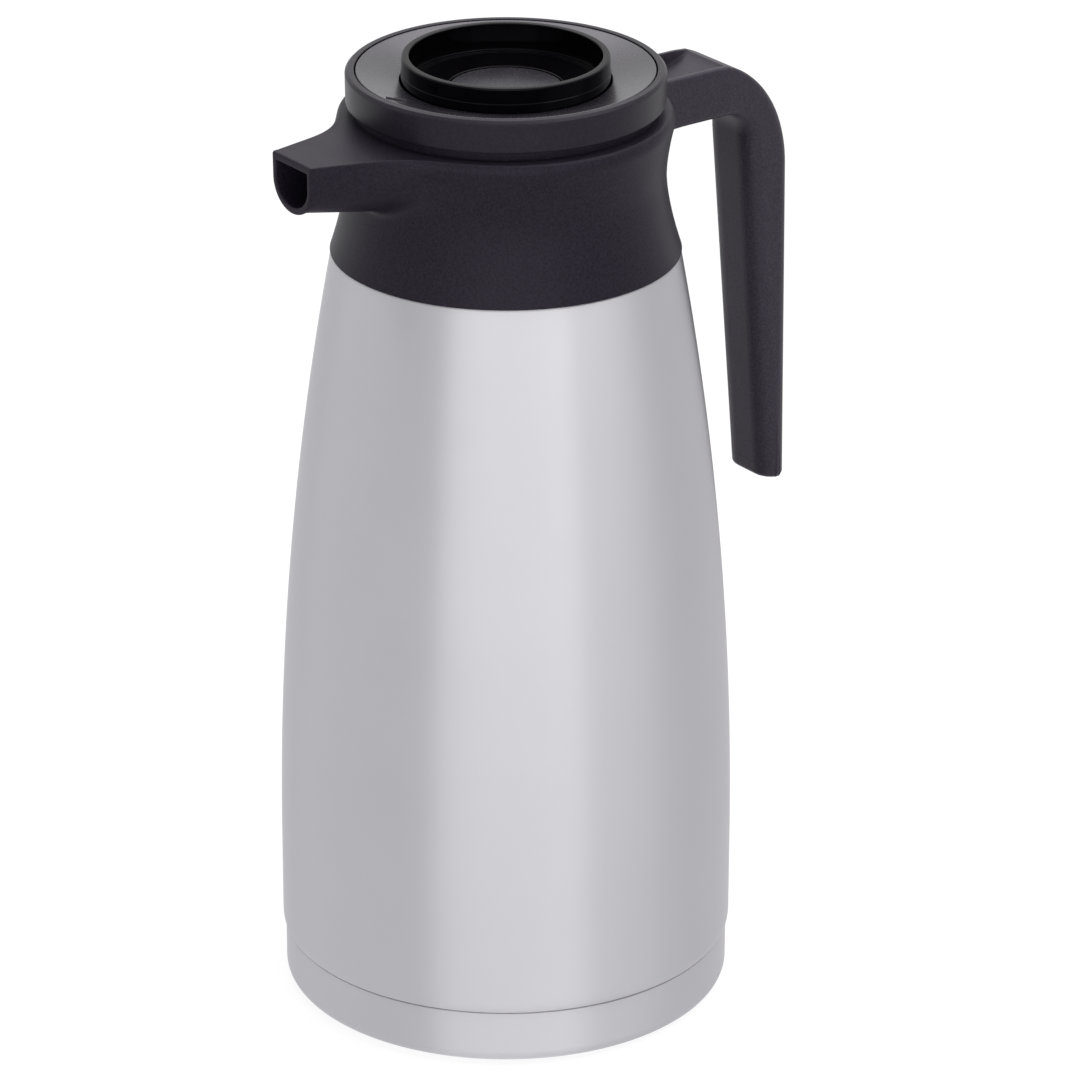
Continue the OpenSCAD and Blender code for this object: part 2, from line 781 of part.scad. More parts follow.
ring_edge = 0.7;
bore_edge = 0.3;
ring_foot = 0.4;
ring_foot_drop = 0.6;
ring_foot_z = lid_top - ring_foot_drop;
well_t = 0.9;
well_ledge_w = 1.5;
well_step = 0.5;
well_fall = 1.4;
well_floor_t = 1.6;
well_ledge_z = ring_top - ring_bore_h - bore_edge;
well_ledge_r = ring_bore_r - well_ledge_w;
seat_edge_z = well_ledge_z - well_fall;
seat_under_z = seat_edge_z - well_floor_t;
hinge_back = 3.4;
hinge_drop = 0.5;
knuckle_t = 1.2;
hinge_x = throat_r + hinge_back;
knuckle_r = pin_r + knuckle_t;
hinge_z = seat_under_z - knuckle_r - hinge_drop;
knuckle_w = 10;
ear_t = 2.5;
ear_root = 0.6;
pin_l = knuckle_w + 2 * (ear_t + move_gap);

// Glossy ring and well, with the hinge ears under the well's floor
module brew_funnel() {
  wall_in = ring_bore_r - well_t;
  ear_y = knuckle_w / 2 + move_gap;
  color(GLOSS)
    difference() {
      union() {
        revolve(concat(
          [[throat_r, seat_edge_z], [throat_r, seat_under_z],
           [wall_in, seat_under_z + bore_edge], [wall_in, flange_top],
           [funnel_flange_r, flange_top], [funnel_flange_r, flange_top + funnel_flange_t],
           [ring_r + ring_foot, flange_top + funnel_flange_t],
           [ring_r + ring_foot, ring_foot_z - ring_foot], [ring_r, ring_foot_z]],
          arc_pts(ring_r - ring_edge, ring_top - ring_edge, ring_edge, ring_edge, 0, 90, 4),
          arc_pts(ring_bore_r + bore_edge, ring_top - bore_edge, bore_edge, bore_edge, 90, 180, 3),
          [[ring_bore_r, well_ledge_z], [well_ledge_r, well_ledge_z],
           [well_ledge_r, well_ledge_z - well_step]]));
        for (side = [-1, 1])
          translate([hinge_x - knuckle_r, side * (ear_y + ear_t / 2) - ear_t / 2, hinge_z])
            cube([2 * knuckle_r, ear_t, seat_under_z - hinge_z + ear_root]);
        for (side = [-1, 1])
          translate([0, side * (ear_y + ear_t / 2), 0])
            rod_y(hinge_x, hinge_z, knuckle_r, ear_t);
      }
      rod_y(hinge_x, hinge_z, pin_r + run_gap, pin_l + 2 * cut);
    }
}

// Plug ---------------------------------------------------------------------
seal_h = 4;
seal_lift = 2.2;
seal_groove = 1.8;
seal_z = plug_z + seal_lift;
seal_groove_r = plug_r - seal_groove;
seal_lip_r = mouth_r - move_gap;
oring_r = 1.4;
oring_drop = 2.6;
oring_mid_r = thread_wall_r - move_gap - oring_r;
oring_z = lid_z - oring_drop;
oring_floor_r = oring_mid_r - oring_r - move_gap;
shelf_top = oring_z - oring_r - move_gap;
shelf_t = 1.4;
shelf_slope_h = 2;
shelf_r = male_crest_r - move_gap;
plug_foot_t = 4.4;
plug_foot_h = 4;
plug_foot_slope_h = 2;
plug_edge = 0.6;

module lid_plug() {
  inner = plug_r - plug_t;
  foot_in = plug_r - plug_foot_t;
  foot_top = seal_z + seal_h + plug_foot_h;
  color(BLACK) union() {
    revolve([
      [foot_in, plug_z], [plug_r - plug_edge, plug_z], [plug_r, plug_z + plug_edge],
      [plug_r, seal_z - move_gap], [seal_groove_r, seal_z - move_gap],
      [seal_groove_r, seal_z + seal_h + move_gap], [plug_r, seal_z + seal_h + move_gap],
      [plug_r, shelf_top - shelf_t - shelf_slope_h], [shelf_r, shelf_top - shelf_t],
      [shelf_r, shelf_top], [oring_floor_r, shelf_top],
      [oring_floor_r, lid_z], [rim_r, lid_z], [rim_r, flange_top],
      [inner, flange_top], [inner, foot_top + plug_foot_slope_h], [foot_in, foot_top]]);
    lugs(plug_r - sink, male_crest_r, male_arc, male_lug_z, 0);
  }
}

// Silicone seal with two lips, pressed into the neck of the liner
module plug_gasket() {
  r0 = seal_groove_r + move_gap;
  r1 = seal_lip_r;
  groove = 0.9;
  lip_edge = 0.4;
  edge_h = 0.6;
  lip_h = 1.2;
  top = seal_z + seal_h;
  color(SILICONE) revolve([
    [r0, seal_z], [r1 - lip_edge, seal_z], [r1, seal_z + edge_h],
    [r1, seal_z + lip_h], [r1 - groove, seal_z + seal_h / 2],
    [r1, top - lip_h], [r1, top - edge_h], [r1 - lip_edge, top], [r0, top]]);
}

module rim_seal() {
  color(SILICONE)
    rotate_extrude()
      translate([oring_mid_r, oring_z]) circle(r = oring_r, $fn = 32);
}

// ------------------------------------------------------------- brew flap

flap_flange_w = 1.4;
flap_play = 0.4;
flap_sink = 0.3;
flap_flange_r = throat_r + flap_flange_w;
flap_pad_r = throat_r - flap_play;
flap_top_z = seat_edge_z - flap_sink;
flap_seat_z = seat_under_z - move_gap;
weight_back = 4.5;
weight_drop = 10;
weight_ring_t = 1.1;
weight_x = hinge_x + weight_back;
weight_z = hinge_z - weight_drop;
weight_ring_r = weight_r + weight_ring_t;

module flap_pin() {
  color(STEEL) rod_y(hinge_x, hinge_z, pin_r, pin_l);
}

// Round flap, its hinge knuckle and the tail that carries the counterweight
module brew_flap() {
  t = flap_t;
  eye_w = 4;
  tail_w = 3;
  tail_t = knuckle_r * 0.7;
  tail_l = norm([weight_back, weight_drop]);
  tail_tilt = atan2(weight_drop, weight_back);
  color(LID_GREY)
    difference() {
      union() {
        revolve([
          [0, flap_top_z], [flap_pad_r, flap_top_z], [flap_pad_r, flap_seat_z],
          [flap_flange_r, flap_seat_z], [flap_flange_r, flap_seat_z - t],
          [flap_pad_r - t, flap_seat_z - t], [flap_pad_r - t, flap_top_z - t],
          [0, flap_top_z - t]]);
        translate([flap_pad_r - t, -knuckle_w / 2, flap_seat_z - t])
          cube([hinge_x - flap_pad_r + t, knuckle_w, t]);
        rod_y(hinge_x, hinge_z, knuckle_r, knuckle_w);
        translate([hinge_x, -tail_w / 2, hinge_z])
          rotate([0, tail_tilt, 0])
            translate([0, 0, -tail_t])
              cube([tail_l, tail_w, 2 * tail_t]);
        rod_y(weight_x, weight_z, weight_ring_r, eye_w);
      }
      rod_y(hinge_x, hinge_z, pin_r + run_gap, knuckle_w + 2 * cut);
      rod_y(weight_x, weight_z, weight_r + weld_gap, eye_w + 2 * cut);
    }
}

module flap_weight() {
  color(STEEL) rod_y(weight_x, weight_z, weight_r, weight_l);
}

// ----------------------------------------------------------------- nodes

outer_shell();
inner_liner();
vacuum_bottom();
getter();
vacuum_seal();
base_cup();
foot_pad();
collar();
mouth_sleeve();
neck_gasket();
handle();
handle_cover();
handle_screws();
plug_gasket();
rim_seal();
lid_rim();
lid_plate();
brew_funnel();
lid_plug();
flap_pin();
brew_flap();
flap_weight();
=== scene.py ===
"""Looks of a thermal serving carafe: smooth shells, mouldings and their finishes.

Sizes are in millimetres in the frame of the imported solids: +Z is up, the spout points
along -X and the handle along +X, and the carafe stands on z = 0. Each sub-assembly is a
class that holds its sizes, builds its surfaces and dresses them.
"""

import logging
import math
from collections.abc import Sequence
from dataclasses import dataclass, field
from enum import Enum, IntEnum

import bmesh
import bpy
import numpy as np
from mathutils import Matrix, Vector


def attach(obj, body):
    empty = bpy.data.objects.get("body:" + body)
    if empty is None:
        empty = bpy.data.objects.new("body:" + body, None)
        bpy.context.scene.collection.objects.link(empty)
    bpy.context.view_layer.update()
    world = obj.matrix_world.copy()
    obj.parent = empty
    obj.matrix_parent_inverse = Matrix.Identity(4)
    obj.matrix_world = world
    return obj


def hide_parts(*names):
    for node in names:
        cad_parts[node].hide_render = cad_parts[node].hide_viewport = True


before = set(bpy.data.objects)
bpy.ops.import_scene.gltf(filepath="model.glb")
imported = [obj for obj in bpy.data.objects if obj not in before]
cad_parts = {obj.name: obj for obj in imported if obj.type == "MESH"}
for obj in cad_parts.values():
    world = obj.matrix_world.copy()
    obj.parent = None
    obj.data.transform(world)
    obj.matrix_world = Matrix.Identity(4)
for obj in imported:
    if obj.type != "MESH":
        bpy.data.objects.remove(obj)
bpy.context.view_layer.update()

log = logging.getLogger("carafe")

MM = 0.001
Array = np.ndarray
Corner = tuple[float, float, float]
"""Two coordinates of a corner and the radius that rounds it."""

WELD = 0.002
"""Points closer than this many millimetres are one point."""

SHARP = math.radians(38)
"""Edges that turn by more than this stay crisp."""

CRISP, FINE = 0.1, 0.2
"""Radii of edges that only catch a thin line of light."""

SIDE_SHARE = 0.49
"""Largest share of a side that the arc at one of its ends may take."""


# ------------------------------------------------------------------ outlines


def mix(a: float | Array, b: float | Array, t: float | Array) -> float | Array:
    """Straight blend from a (t = 0) to b (t = 1)."""
    return a + (b - a) * t


def ease(t: Array) -> Array:
    """Smooth step from 0 to 1: 3t^2 - 2t^3 on t held between 0 and 1."""
    t = np.clip(t, 0.0, 1.0)
    return t * t * (3 - 2 * t)


def arc(centre: tuple[float, float], rx: float, ry: float, start: float, end: float,
        steps: int) -> Array:
    """Points on an ellipse: centre + (rx cos a, ry sin a), a in degrees.

    Args:
        centre: Middle of the ellipse.
        rx: Half axis along the first coordinate.
        ry: Half axis along the second coordinate.
        start: First angle.
        end: Last angle.
        steps: Number of segments.

    Returns:
        The points, one row each.
    """
    a = np.radians(np.linspace(start, end, steps + 1))
    return np.column_stack([centre[0] + rx * np.cos(a), centre[1] + ry * np.sin(a)])


def rounded(corners: Sequence[Corner], steps: int = 5, guard: float = 0.35) -> Array:
    """A closed line with round corners.

    A corner of radius q is replaced by an arc that touches both neighbouring sides at
    q / tan(half the corner's angle) from the corner. One more point a little way along
    each side keeps the shading of the flat next to the arc flat.

    Args:
        corners: (x, y, radius) of each corner; a radius of 0 leaves a sharp corner.
        steps: Segments of each arc.
        guard: Distance of the extra point from the end of the arc.

    Returns:
        The points of the line in order, without repeating the first.
    """
    line: list[Array] = []
    count = len(corners)
    for i, (x, y, radius) in enumerate(corners):
        here = np.array([x, y])
        before = np.array(corners[i - 1][:2]) - here
        after = np.array(corners[(i + 1) % count][:2]) - here
        room_before, room_after = np.linalg.norm(before), np.linalg.norm(after)
        if radius <= 0 or min(room_before, room_after) < WELD:
            line.append(here[None])
            continue
        u, v = before / room_before, after / room_after
        half = math.acos(float(np.clip(u @ v, -1, 1))) / 2
        reach = min(radius / math.tan(half), SIDE_SHARE * room_before, SIDE_SHARE * room_after)
        size = reach * math.tan(half)
        middle = here + (u + v) / np.linalg.norm(u + v) * size / math.sin(half)
        first, last = here + u * reach - middle, here + v * reach - middle
        sweep = math.acos(float(np.clip(first @ last / size**2, -1, 1)))
        t = np.linspace(0, 1, steps + 1)[:, None]
        turn = (np.sin((1 - t) * sweep) * first + np.sin(t * sweep) * last) / math.sin(sweep)
        if room_before > 2 * (reach + guard):
            line.append((here + u * (reach + guard))[None])
        line.append(middle + turn)
        if room_after > 2 * (reach + guard):
            line.append((here + v * (reach + guard))[None])
    return np.vstack(line)


# ------------------------------------------------------------------ surfaces


def turned(outline: Array, angles: Array) -> Array:
    """An outline (r, z) turned about Z: (r cos a, r sin a, z) on a grid.

    Args:
        outline: Points of the outline, one row each.
        angles: Angles of the columns, in radians.

    Returns:
        Grid of points: rows along the outline, columns around the axis.
    """
    r, z = outline[:, :1], outline[:, 1:]
    level = np.broadcast_to(z, (len(outline), len(angles)))
    return np.stack([r * np.cos(angles), r * np.sin(angles), level], axis=-1)


def unit(ways: Array) -> Array:
    """Vectors, one row each, brought to length 1."""
    return ways / np.linalg.norm(ways, axis=1, keepdims=True)


def full_turn(count: int) -> Array:
    """Angles of count equal steps round the axis."""
    return np.arange(count) * 2 * math.pi / count


class Skin:
    """Collects grids of points and makes one welded mesh of them."""

    def __init__(self) -> None:
        """Starts with no points."""
        self.points: list[Array] = []
        self.faces: list[Array] = []
        self.total = 0

    def add(self, grid: Array, wrap_rows: bool = False, wrap_columns: bool = False) -> "Skin":
        """Adds the quads between neighbouring points of a grid.

        Args:
            grid: Points as (rows, columns, 3), in millimetres.
            wrap_rows: Whether the last row joins the first.
            wrap_columns: Whether the last column joins the first.

        Returns:
            This skin, so that calls can be chained.
        """
        rows, columns = grid.shape[:2]
        index = self.total + np.arange(rows * columns).reshape(rows, columns)
        if wrap_rows:
            index = np.vstack([index, index[:1]])
        if wrap_columns:
            index = np.hstack([index, index[:, :1]])
        quads = np.stack([index[:-1, :-1], index[:-1, 1:], index[1:, 1:], index[1:, :-1]], axis=-1)
        self.points.append(grid.reshape(-1, 3))
        self.faces.append(quads.reshape(-1, 4))
        self.total += rows * columns
        return self

    def cap(self, ring: Array) -> "Skin":
        """Closes a ring of points with one flat face.

        Args:
            ring: Points (count, 3) of the ring.

        Returns:
            This skin, so that calls can be chained.
        """
        self.points.append(ring)
        self.faces.append(self.total + np.arange(len(ring))[None])
        self.total += len(ring)
        return self

    def build(self, name: str) -> bpy.types.Object:
        """Welds what was added, turns its faces outwards and shades it.

        Args:
            name: Name of the new object.

        Returns:
            The object, in metres, with its place in its mesh.
        """
        mesh = bpy.data.meshes.new(name)
        faces = [face.tolist() for patch in self.faces for face in patch]
        mesh.from_pydata((np.vstack(self.points) * MM).tolist(), [], faces)
        made = bmesh.new()
        made.from_mesh(mesh)
        bmesh.ops.remove_doubles(made, verts=made.verts, dist=WELD * MM)
        bmesh.ops.recalc_face_normals(made, faces=made.faces)
        made.to_mesh(mesh)
        made.free()
        piece = bpy.data.objects.new(name, mesh)
        bpy.context.scene.collection.objects.link(piece)
        return shade(piece)


def shade(piece: bpy.types.Object) -> bpy.types.Object:
    """Shades a piece smooth, apart from its crisp edges.

    Args:
        piece: The piece.

    Returns:
        The same piece.
    """
    piece.data.shade_smooth()
    piece.data.set_sharp_from_angle(angle=SHARP)
    return piece


def lathe(name: str, outline: Array, steps: int) -> bpy.types.Object:
    """A closed outline (r, z) turned into a ring or a disc."""
    grid = turned(outline, full_turn(steps))
    return Skin().add(grid, wrap_rows=True, wrap_columns=True).build(name)


def solid(name: str, rings: Array) -> bpy.types.Object:
    """Loops of points (loops, count, 3) joined in their order and closed at both ends."""
    return Skin().add(rings, wrap_columns=True).cap(rings[0]).cap(rings[-1]).build(name)


def prism(name: str, outline: Sequence[tuple[float, float]], width: float) -> bpy.types.Object:
    """A side outline given a width along Y, centred on y = 0.

    Args:
        name: Name of the new object.
        outline: Corners (x, z) of the outline.
        width: Size along Y.

    Returns:
        The solid.
    """
    side = np.array(outline)
    return solid(name, np.stack([np.column_stack([side[:, 0], np.full(len(side), y), side[:, 1]])
                                 for y in (-width / 2, width / 2)]))


def block(name: str, x: tuple[float, float], z: tuple[float, float],
          width: float) -> bpy.types.Object:
    """A box between two places x and two heights z, centred on y = 0."""
    return prism(name, [(x[0], z[0]), (x[1], z[0]), (x[1], z[1]), (x[0], z[1])], width)


class Cut(Enum):
    """What a tool body does to a piece."""

    AWAY = "DIFFERENCE"
    JOIN = "UNION"
    SHARED = "INTERSECT"


def carve(piece: bpy.types.Object, tool: bpy.types.Object, cut: Cut) -> bpy.types.Object:
    """Cuts a tool body out of a piece, joins it on or keeps what both share; removes the tool.

    Args:
        piece: The piece that is changed.
        tool: The tool body.
        cut: What the tool does to the piece.

    Returns:
        The piece with its new mesh.
    """
    step = piece.modifiers.new("carve", "BOOLEAN")
    step.operation = cut.value
    step.solver = "EXACT"
    step.object = tool
    bpy.context.view_layer.update()
    shaped = piece.evaluated_get(bpy.context.evaluated_depsgraph_get())
    old = piece.data
    piece.data = bpy.data.meshes.new_from_object(shaped)
    piece.modifiers.clear()
    bpy.data.meshes.remove(old)
    piece.data.name = piece.name
    bpy.data.objects.remove(tool)
    return shade(piece)


# ------------------------------------------------------------------ finishes


def linear(colour: str) -> tuple[float, float, float, float]:
    """Turns an sRGB hex colour into linear red, green, blue and alpha."""
    parts = [int(colour[i:i + 2], 16) / 255 for i in (1, 3, 5)]
    return (*[c / 12.92 if c <= 0.04045 else ((c + 0.055) / 1.055) ** 2.4 for c in parts], 1.0)


def add_node(tree: bpy.types.NodeTree, kind: str, **inputs: object) -> bpy.types.Node:
    """Adds a node, sets it and links what feeds it.

    A value is written on the socket or setting of that name, with spaces as underscores.
    A socket of another node is linked instead.

    Args:
        tree: Node tree of the material or world.
        kind: Type of the node, without "ShaderNode".
        **inputs: Values or sockets by name of the node's setting or input.

    Returns:
        The new node.
    """
    node = tree.nodes.new("ShaderNode" + kind)
    for name, value in inputs.items():
        if hasattr(node, name):
            setattr(node, name, value)
            continue
        label = name.replace("_", " ")
        socket = node.inputs[int(label[5:])] if label.startswith("input") else node.inputs[label]
        if isinstance(value, bpy.types.NodeSocket):
            tree.links.new(value, socket)
        else:
            socket.default_value = value
    return node


def new_material(name: str) -> tuple[bpy.types.Material, bpy.types.NodeTree]:
    """Makes an empty node material.

    Args:
        name: Name of the material.

    Returns:
        The material and its node tree.
    """
    material = bpy.data.materials.new(name)
    material.use_nodes = True
    material.node_tree.nodes.clear()
    return material, material.node_tree


def per_metre(size_mm: float) -> float:
    """Scale of a noise pattern whose features are size_mm wide."""
    return 1 / (size_mm * MM)


def spread_over(middle: float, width: float) -> dict[str, float]:
    """Settings that stretch the range most of a noise lies in over middle +- width / 2."""
    return dict(From_Min=0.3, From_Max=0.7, To_Min=middle - width / 2, To_Max=middle + width / 2)


@dataclass(frozen=True)
class BrushedSteel:
    """18/8 stainless sheet, drawn to shape and brushed while it turned.

    The brush leaves fine rings round the body, so a lamp's reflection is drawn out up and
    down the side while its left and right edges stay readable.
    """

    name: str = "brushed_stainless"
    colour: str = "#c3c2c6"
    worn_colour: str = "#c0bfc3"
    edge_tint: str = "#eeedf0"
    roughness: float = 0.5
    roughness_spread: float = 0.03
    anisotropic: float = 0.95
    line_mm: float = 0.34
    """Brush lines are about 0.05 mm apart; they are drawn coarser, as fine as a pixel shows."""
    line_length_mm: float = 26.0
    line_depth_mm: float = 0.0004
    cloud_mm: float = 34.0

    def material(self) -> bpy.types.Material:
        """Builds the material.

        Returns:
            The material.
        """
        made, tree = new_material(self.name)
        place = add_node(tree, "TexCoord").outputs["Object"]
        round_z = per_metre(self.line_length_mm)
        brushed = add_node(tree, "Mapping", Vector=place,
                           Scale=(round_z, round_z, per_metre(self.line_mm))).outputs[0]
        lines = add_node(tree, "TexNoise", Vector=brushed, Scale=1.0, Detail=3.0).outputs[0]
        clouds = add_node(tree, "TexNoise", Vector=place, Scale=per_metre(self.cloud_mm),
                          Detail=2.0).outputs[0]
        colour = add_node(tree, "Mix", data_type="RGBA", input0=lines,
                          input6=linear(self.worn_colour), input7=linear(self.colour))
        streaks = add_node(tree, "MapRange", Value=lines,
                           **spread_over(self.roughness, self.roughness_spread))
        patches = add_node(tree, "MapRange", Value=clouds,
                           **spread_over(0.0, self.roughness_spread / 2))
        rough = add_node(tree, "Math", operation="ADD", input0=streaks.outputs[0],
                         input1=patches.outputs[0])
        bump = add_node(tree, "Bump", Strength=1.0, Distance=self.line_depth_mm * MM, Height=lines)
        shader = add_node(tree, "BsdfPrincipled", Base_Color=colour.outputs[2], Metallic=1.0,
                          Roughness=rough.outputs[0], Normal=bump.outputs[0],
                          Anisotropic=self.anisotropic, Anisotropic_Rotation=0.25,
                          Specular_Tint=linear(self.edge_tint))
        add_node(tree, "OutputMaterial", Surface=shader.outputs[0])
        return made


@dataclass(frozen=True)
class BrightSteel:
    """Drawn or turned stainless, smooth and bright, with faint marks of the tool."""

    name: str = "bright_stainless"
    colour: str = "#c2c1c4"
    roughness: float = 0.22
    roughness_spread: float = 0.1
    mark_mm: float = 0.5

    def material(self) -> bpy.types.Material:
        """Builds the material.

        Returns:
            The material.
        """
        made, tree = new_material(self.name)
        place = add_node(tree, "TexCoord").outputs["Object"]
        marks = add_node(tree, "TexNoise", Vector=place, Scale=per_metre(self.mark_mm), Detail=2.0)
        rough = add_node(tree, "MapRange", Value=marks.outputs[0],
                         **spread_over(self.roughness, self.roughness_spread))
        shader = add_node(tree, "BsdfPrincipled", Base_Color=linear(self.colour), Metallic=1.0,
                          Roughness=rough.outputs[0])
        add_node(tree, "OutputMaterial", Surface=shader.outputs[0])
        return made


@dataclass(frozen=True)
class MouldedPlastic:
    """Injection-moulded polypropylene or ABS with a fine spark-eroded grain.

    The grain scatters the lamps into a soft sheen and its rubbed peaks are a little paler;
    slow waves in the moulding's skin let the sheen vary over large faces.
    """

    name: str
    colour: str
    pale_colour: str
    roughness: float
    specular: float
    sheen_tint: str = "#f2ecfa"
    grain_mm: float = 0.7
    """Spark-eroded grain is 0.1 to 0.3 mm; it is drawn coarser so that it shows."""
    grain_depth_mm: float = 0.03
    roughness_spread: float = 0.05
    wave_mm: float = 18.0

    def material(self) -> bpy.types.Material:
        """Builds the material.

        Returns:
            The material.
        """
        made, tree = new_material(self.name)
        place = add_node(tree, "TexCoord").outputs["Object"]
        grain = add_node(tree, "TexNoise", Vector=place, Scale=per_metre(self.grain_mm),
                         Detail=3.0).outputs[0]
        waves = add_node(tree, "TexNoise", Vector=place, Scale=per_metre(self.wave_mm),
                         Detail=2.0).outputs[0]
        peaks = add_node(tree, "MapRange", Value=grain, **spread_over(0.5, 1.0))
        colour = add_node(tree, "Mix", data_type="RGBA", input0=peaks.outputs[0],
                          input6=linear(self.colour), input7=linear(self.pale_colour))
        fine = add_node(tree, "MapRange", Value=grain,
                        **spread_over(self.roughness, self.roughness_spread))
        slow = add_node(tree, "MapRange", Value=waves, **spread_over(0.0, self.roughness_spread))
        rough = add_node(tree, "Math", operation="ADD", input0=fine.outputs[0],
                         input1=slow.outputs[0])
        bump = add_node(tree, "Bump", Strength=1.0, Distance=self.grain_depth_mm * MM, Height=grain)
        shader = add_node(tree, "BsdfPrincipled", Base_Color=colour.outputs[2],
                          Roughness=rough.outputs[0], Normal=bump.outputs[0],
                          Specular_IOR_Level=self.specular, IOR=1.5,
                          Specular_Tint=linear(self.sheen_tint))
        add_node(tree, "OutputMaterial", Surface=shader.outputs[0])
        return made


@dataclass(frozen=True)
class Silicone:
    """Platinum-cured silicone: soft, slightly see-through grey with a dusty bloom."""

    name: str = "grey_silicone"
    colour: str = "#5d5c60"
    bloom_colour: str = "#6a696d"
    roughness: float = 0.58
    roughness_spread: float = 0.12
    bloom_mm: float = 6.0
    scatter: float = 0.1
    scatter_mm: float = 1.2

    def material(self) -> bpy.types.Material:
        """Builds the material.

        Returns:
            The material.
        """
        made, tree = new_material(self.name)
        place = add_node(tree, "TexCoord").outputs["Object"]
        bloom = add_node(tree, "TexNoise", Vector=place, Scale=per_metre(self.bloom_mm),
                         Detail=4.0).outputs[0]
        dusty = add_node(tree, "MapRange", Value=bloom, **spread_over(0.5, 1.0))
        colour = add_node(tree, "Mix", data_type="RGBA", input0=dusty.outputs[0],
                          input6=linear(self.colour), input7=linear(self.bloom_colour))
        rough = add_node(tree, "MapRange", Value=bloom,
                         **spread_over(self.roughness, self.roughness_spread))
        shader = add_node(tree, "BsdfPrincipled", Base_Color=colour.outputs[2],
                          Roughness=rough.outputs[0], IOR=1.41, Subsurface_Weight=self.scatter,
                          Subsurface_Scale=self.scatter_mm * MM)
        add_node(tree, "OutputMaterial", Surface=shader.outputs[0])
        return made


class Finish(Enum):
    """The finishes of the carafe, each with the record's slot that it belongs to."""

    BODY = ("body_steel", BrushedSteel())
    LINER = ("liner_steel", BrushedSteel("satin_liner", "#a8a7aa", "#a3a2a5", anisotropic=0.4))
    FASTENER = ("fastener_steel", BrightSteel())
    COLLAR = ("collar_plastic", MouldedPlastic(
        "grained_black_plastic", "#15121a", "#24202a", 0.44, 0.12))
    # The handle wears the collar's plastic painted a little lighter: the extra lightness is painted
    # light that stands in for the light on the handle's side faces.
    HANDLE = ("collar_plastic", MouldedPlastic(
        "grained_handle_plastic_painted_lighter", "#201c25", "#312d37", 0.46, 0.26))
    LID = ("lid_plastic", MouldedPlastic(
        "satin_lid_plastic", "#17141b", "#211e25", 0.38, 0.17, grain_depth_mm=0.02))
    PLATE = ("plate_plastic", MouldedPlastic(
        "satin_plate_plastic", "#1d1b20", "#201e23", 0.26, 0.6, grain_depth_mm=0.003))
    GLOSS = ("gloss_plastic", MouldedPlastic(
        "polished_black_plastic", "#040305", "#060507", 0.08, 0.08, grain_mm=3.0,
        grain_depth_mm=0.001, roughness_spread=0.02))
    RUBBER = ("silicone", Silicone())

    @property
    def slot(self) -> str:
        """Name of the record's material slot."""
        return self.value[0]


class Wardrobe:
    """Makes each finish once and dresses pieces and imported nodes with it."""

    def __init__(self) -> None:
        """Builds every material."""
        self.made = {finish: finish.value[1].material() for finish in Finish}

    def dress(self, piece: bpy.types.Object, finish: Finish, body: str, *nodes: str) -> None:
        """Gives a new piece its finish and body, and lets it stand for nodes.

        Args:
            piece: The new piece.
            finish: Its finish.
            body: The moving body that it rides on.
            *nodes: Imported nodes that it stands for.
        """
        piece.data.materials.clear()
        piece.data.materials.append(self.made[finish])
        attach(piece, body)
        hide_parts(*nodes)
        log.info("piece %s: %d faces, %s, on %s", piece.name, len(piece.data.polygons),
                 finish.name.lower(), body)

    def dress_node(self, name: str, finish: Finish) -> None:
        """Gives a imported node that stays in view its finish.

        Args:
            name: The node's name.
            finish: Its finish.
        """
        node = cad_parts[name]
        if not node.material_slots:
            node.data.materials.append(None)
        for slot in node.material_slots:
            slot.material = self.made[finish]
        log.info("node %s: %s", name, finish.name.lower())


# ---------------------------------------------------------------- steel body


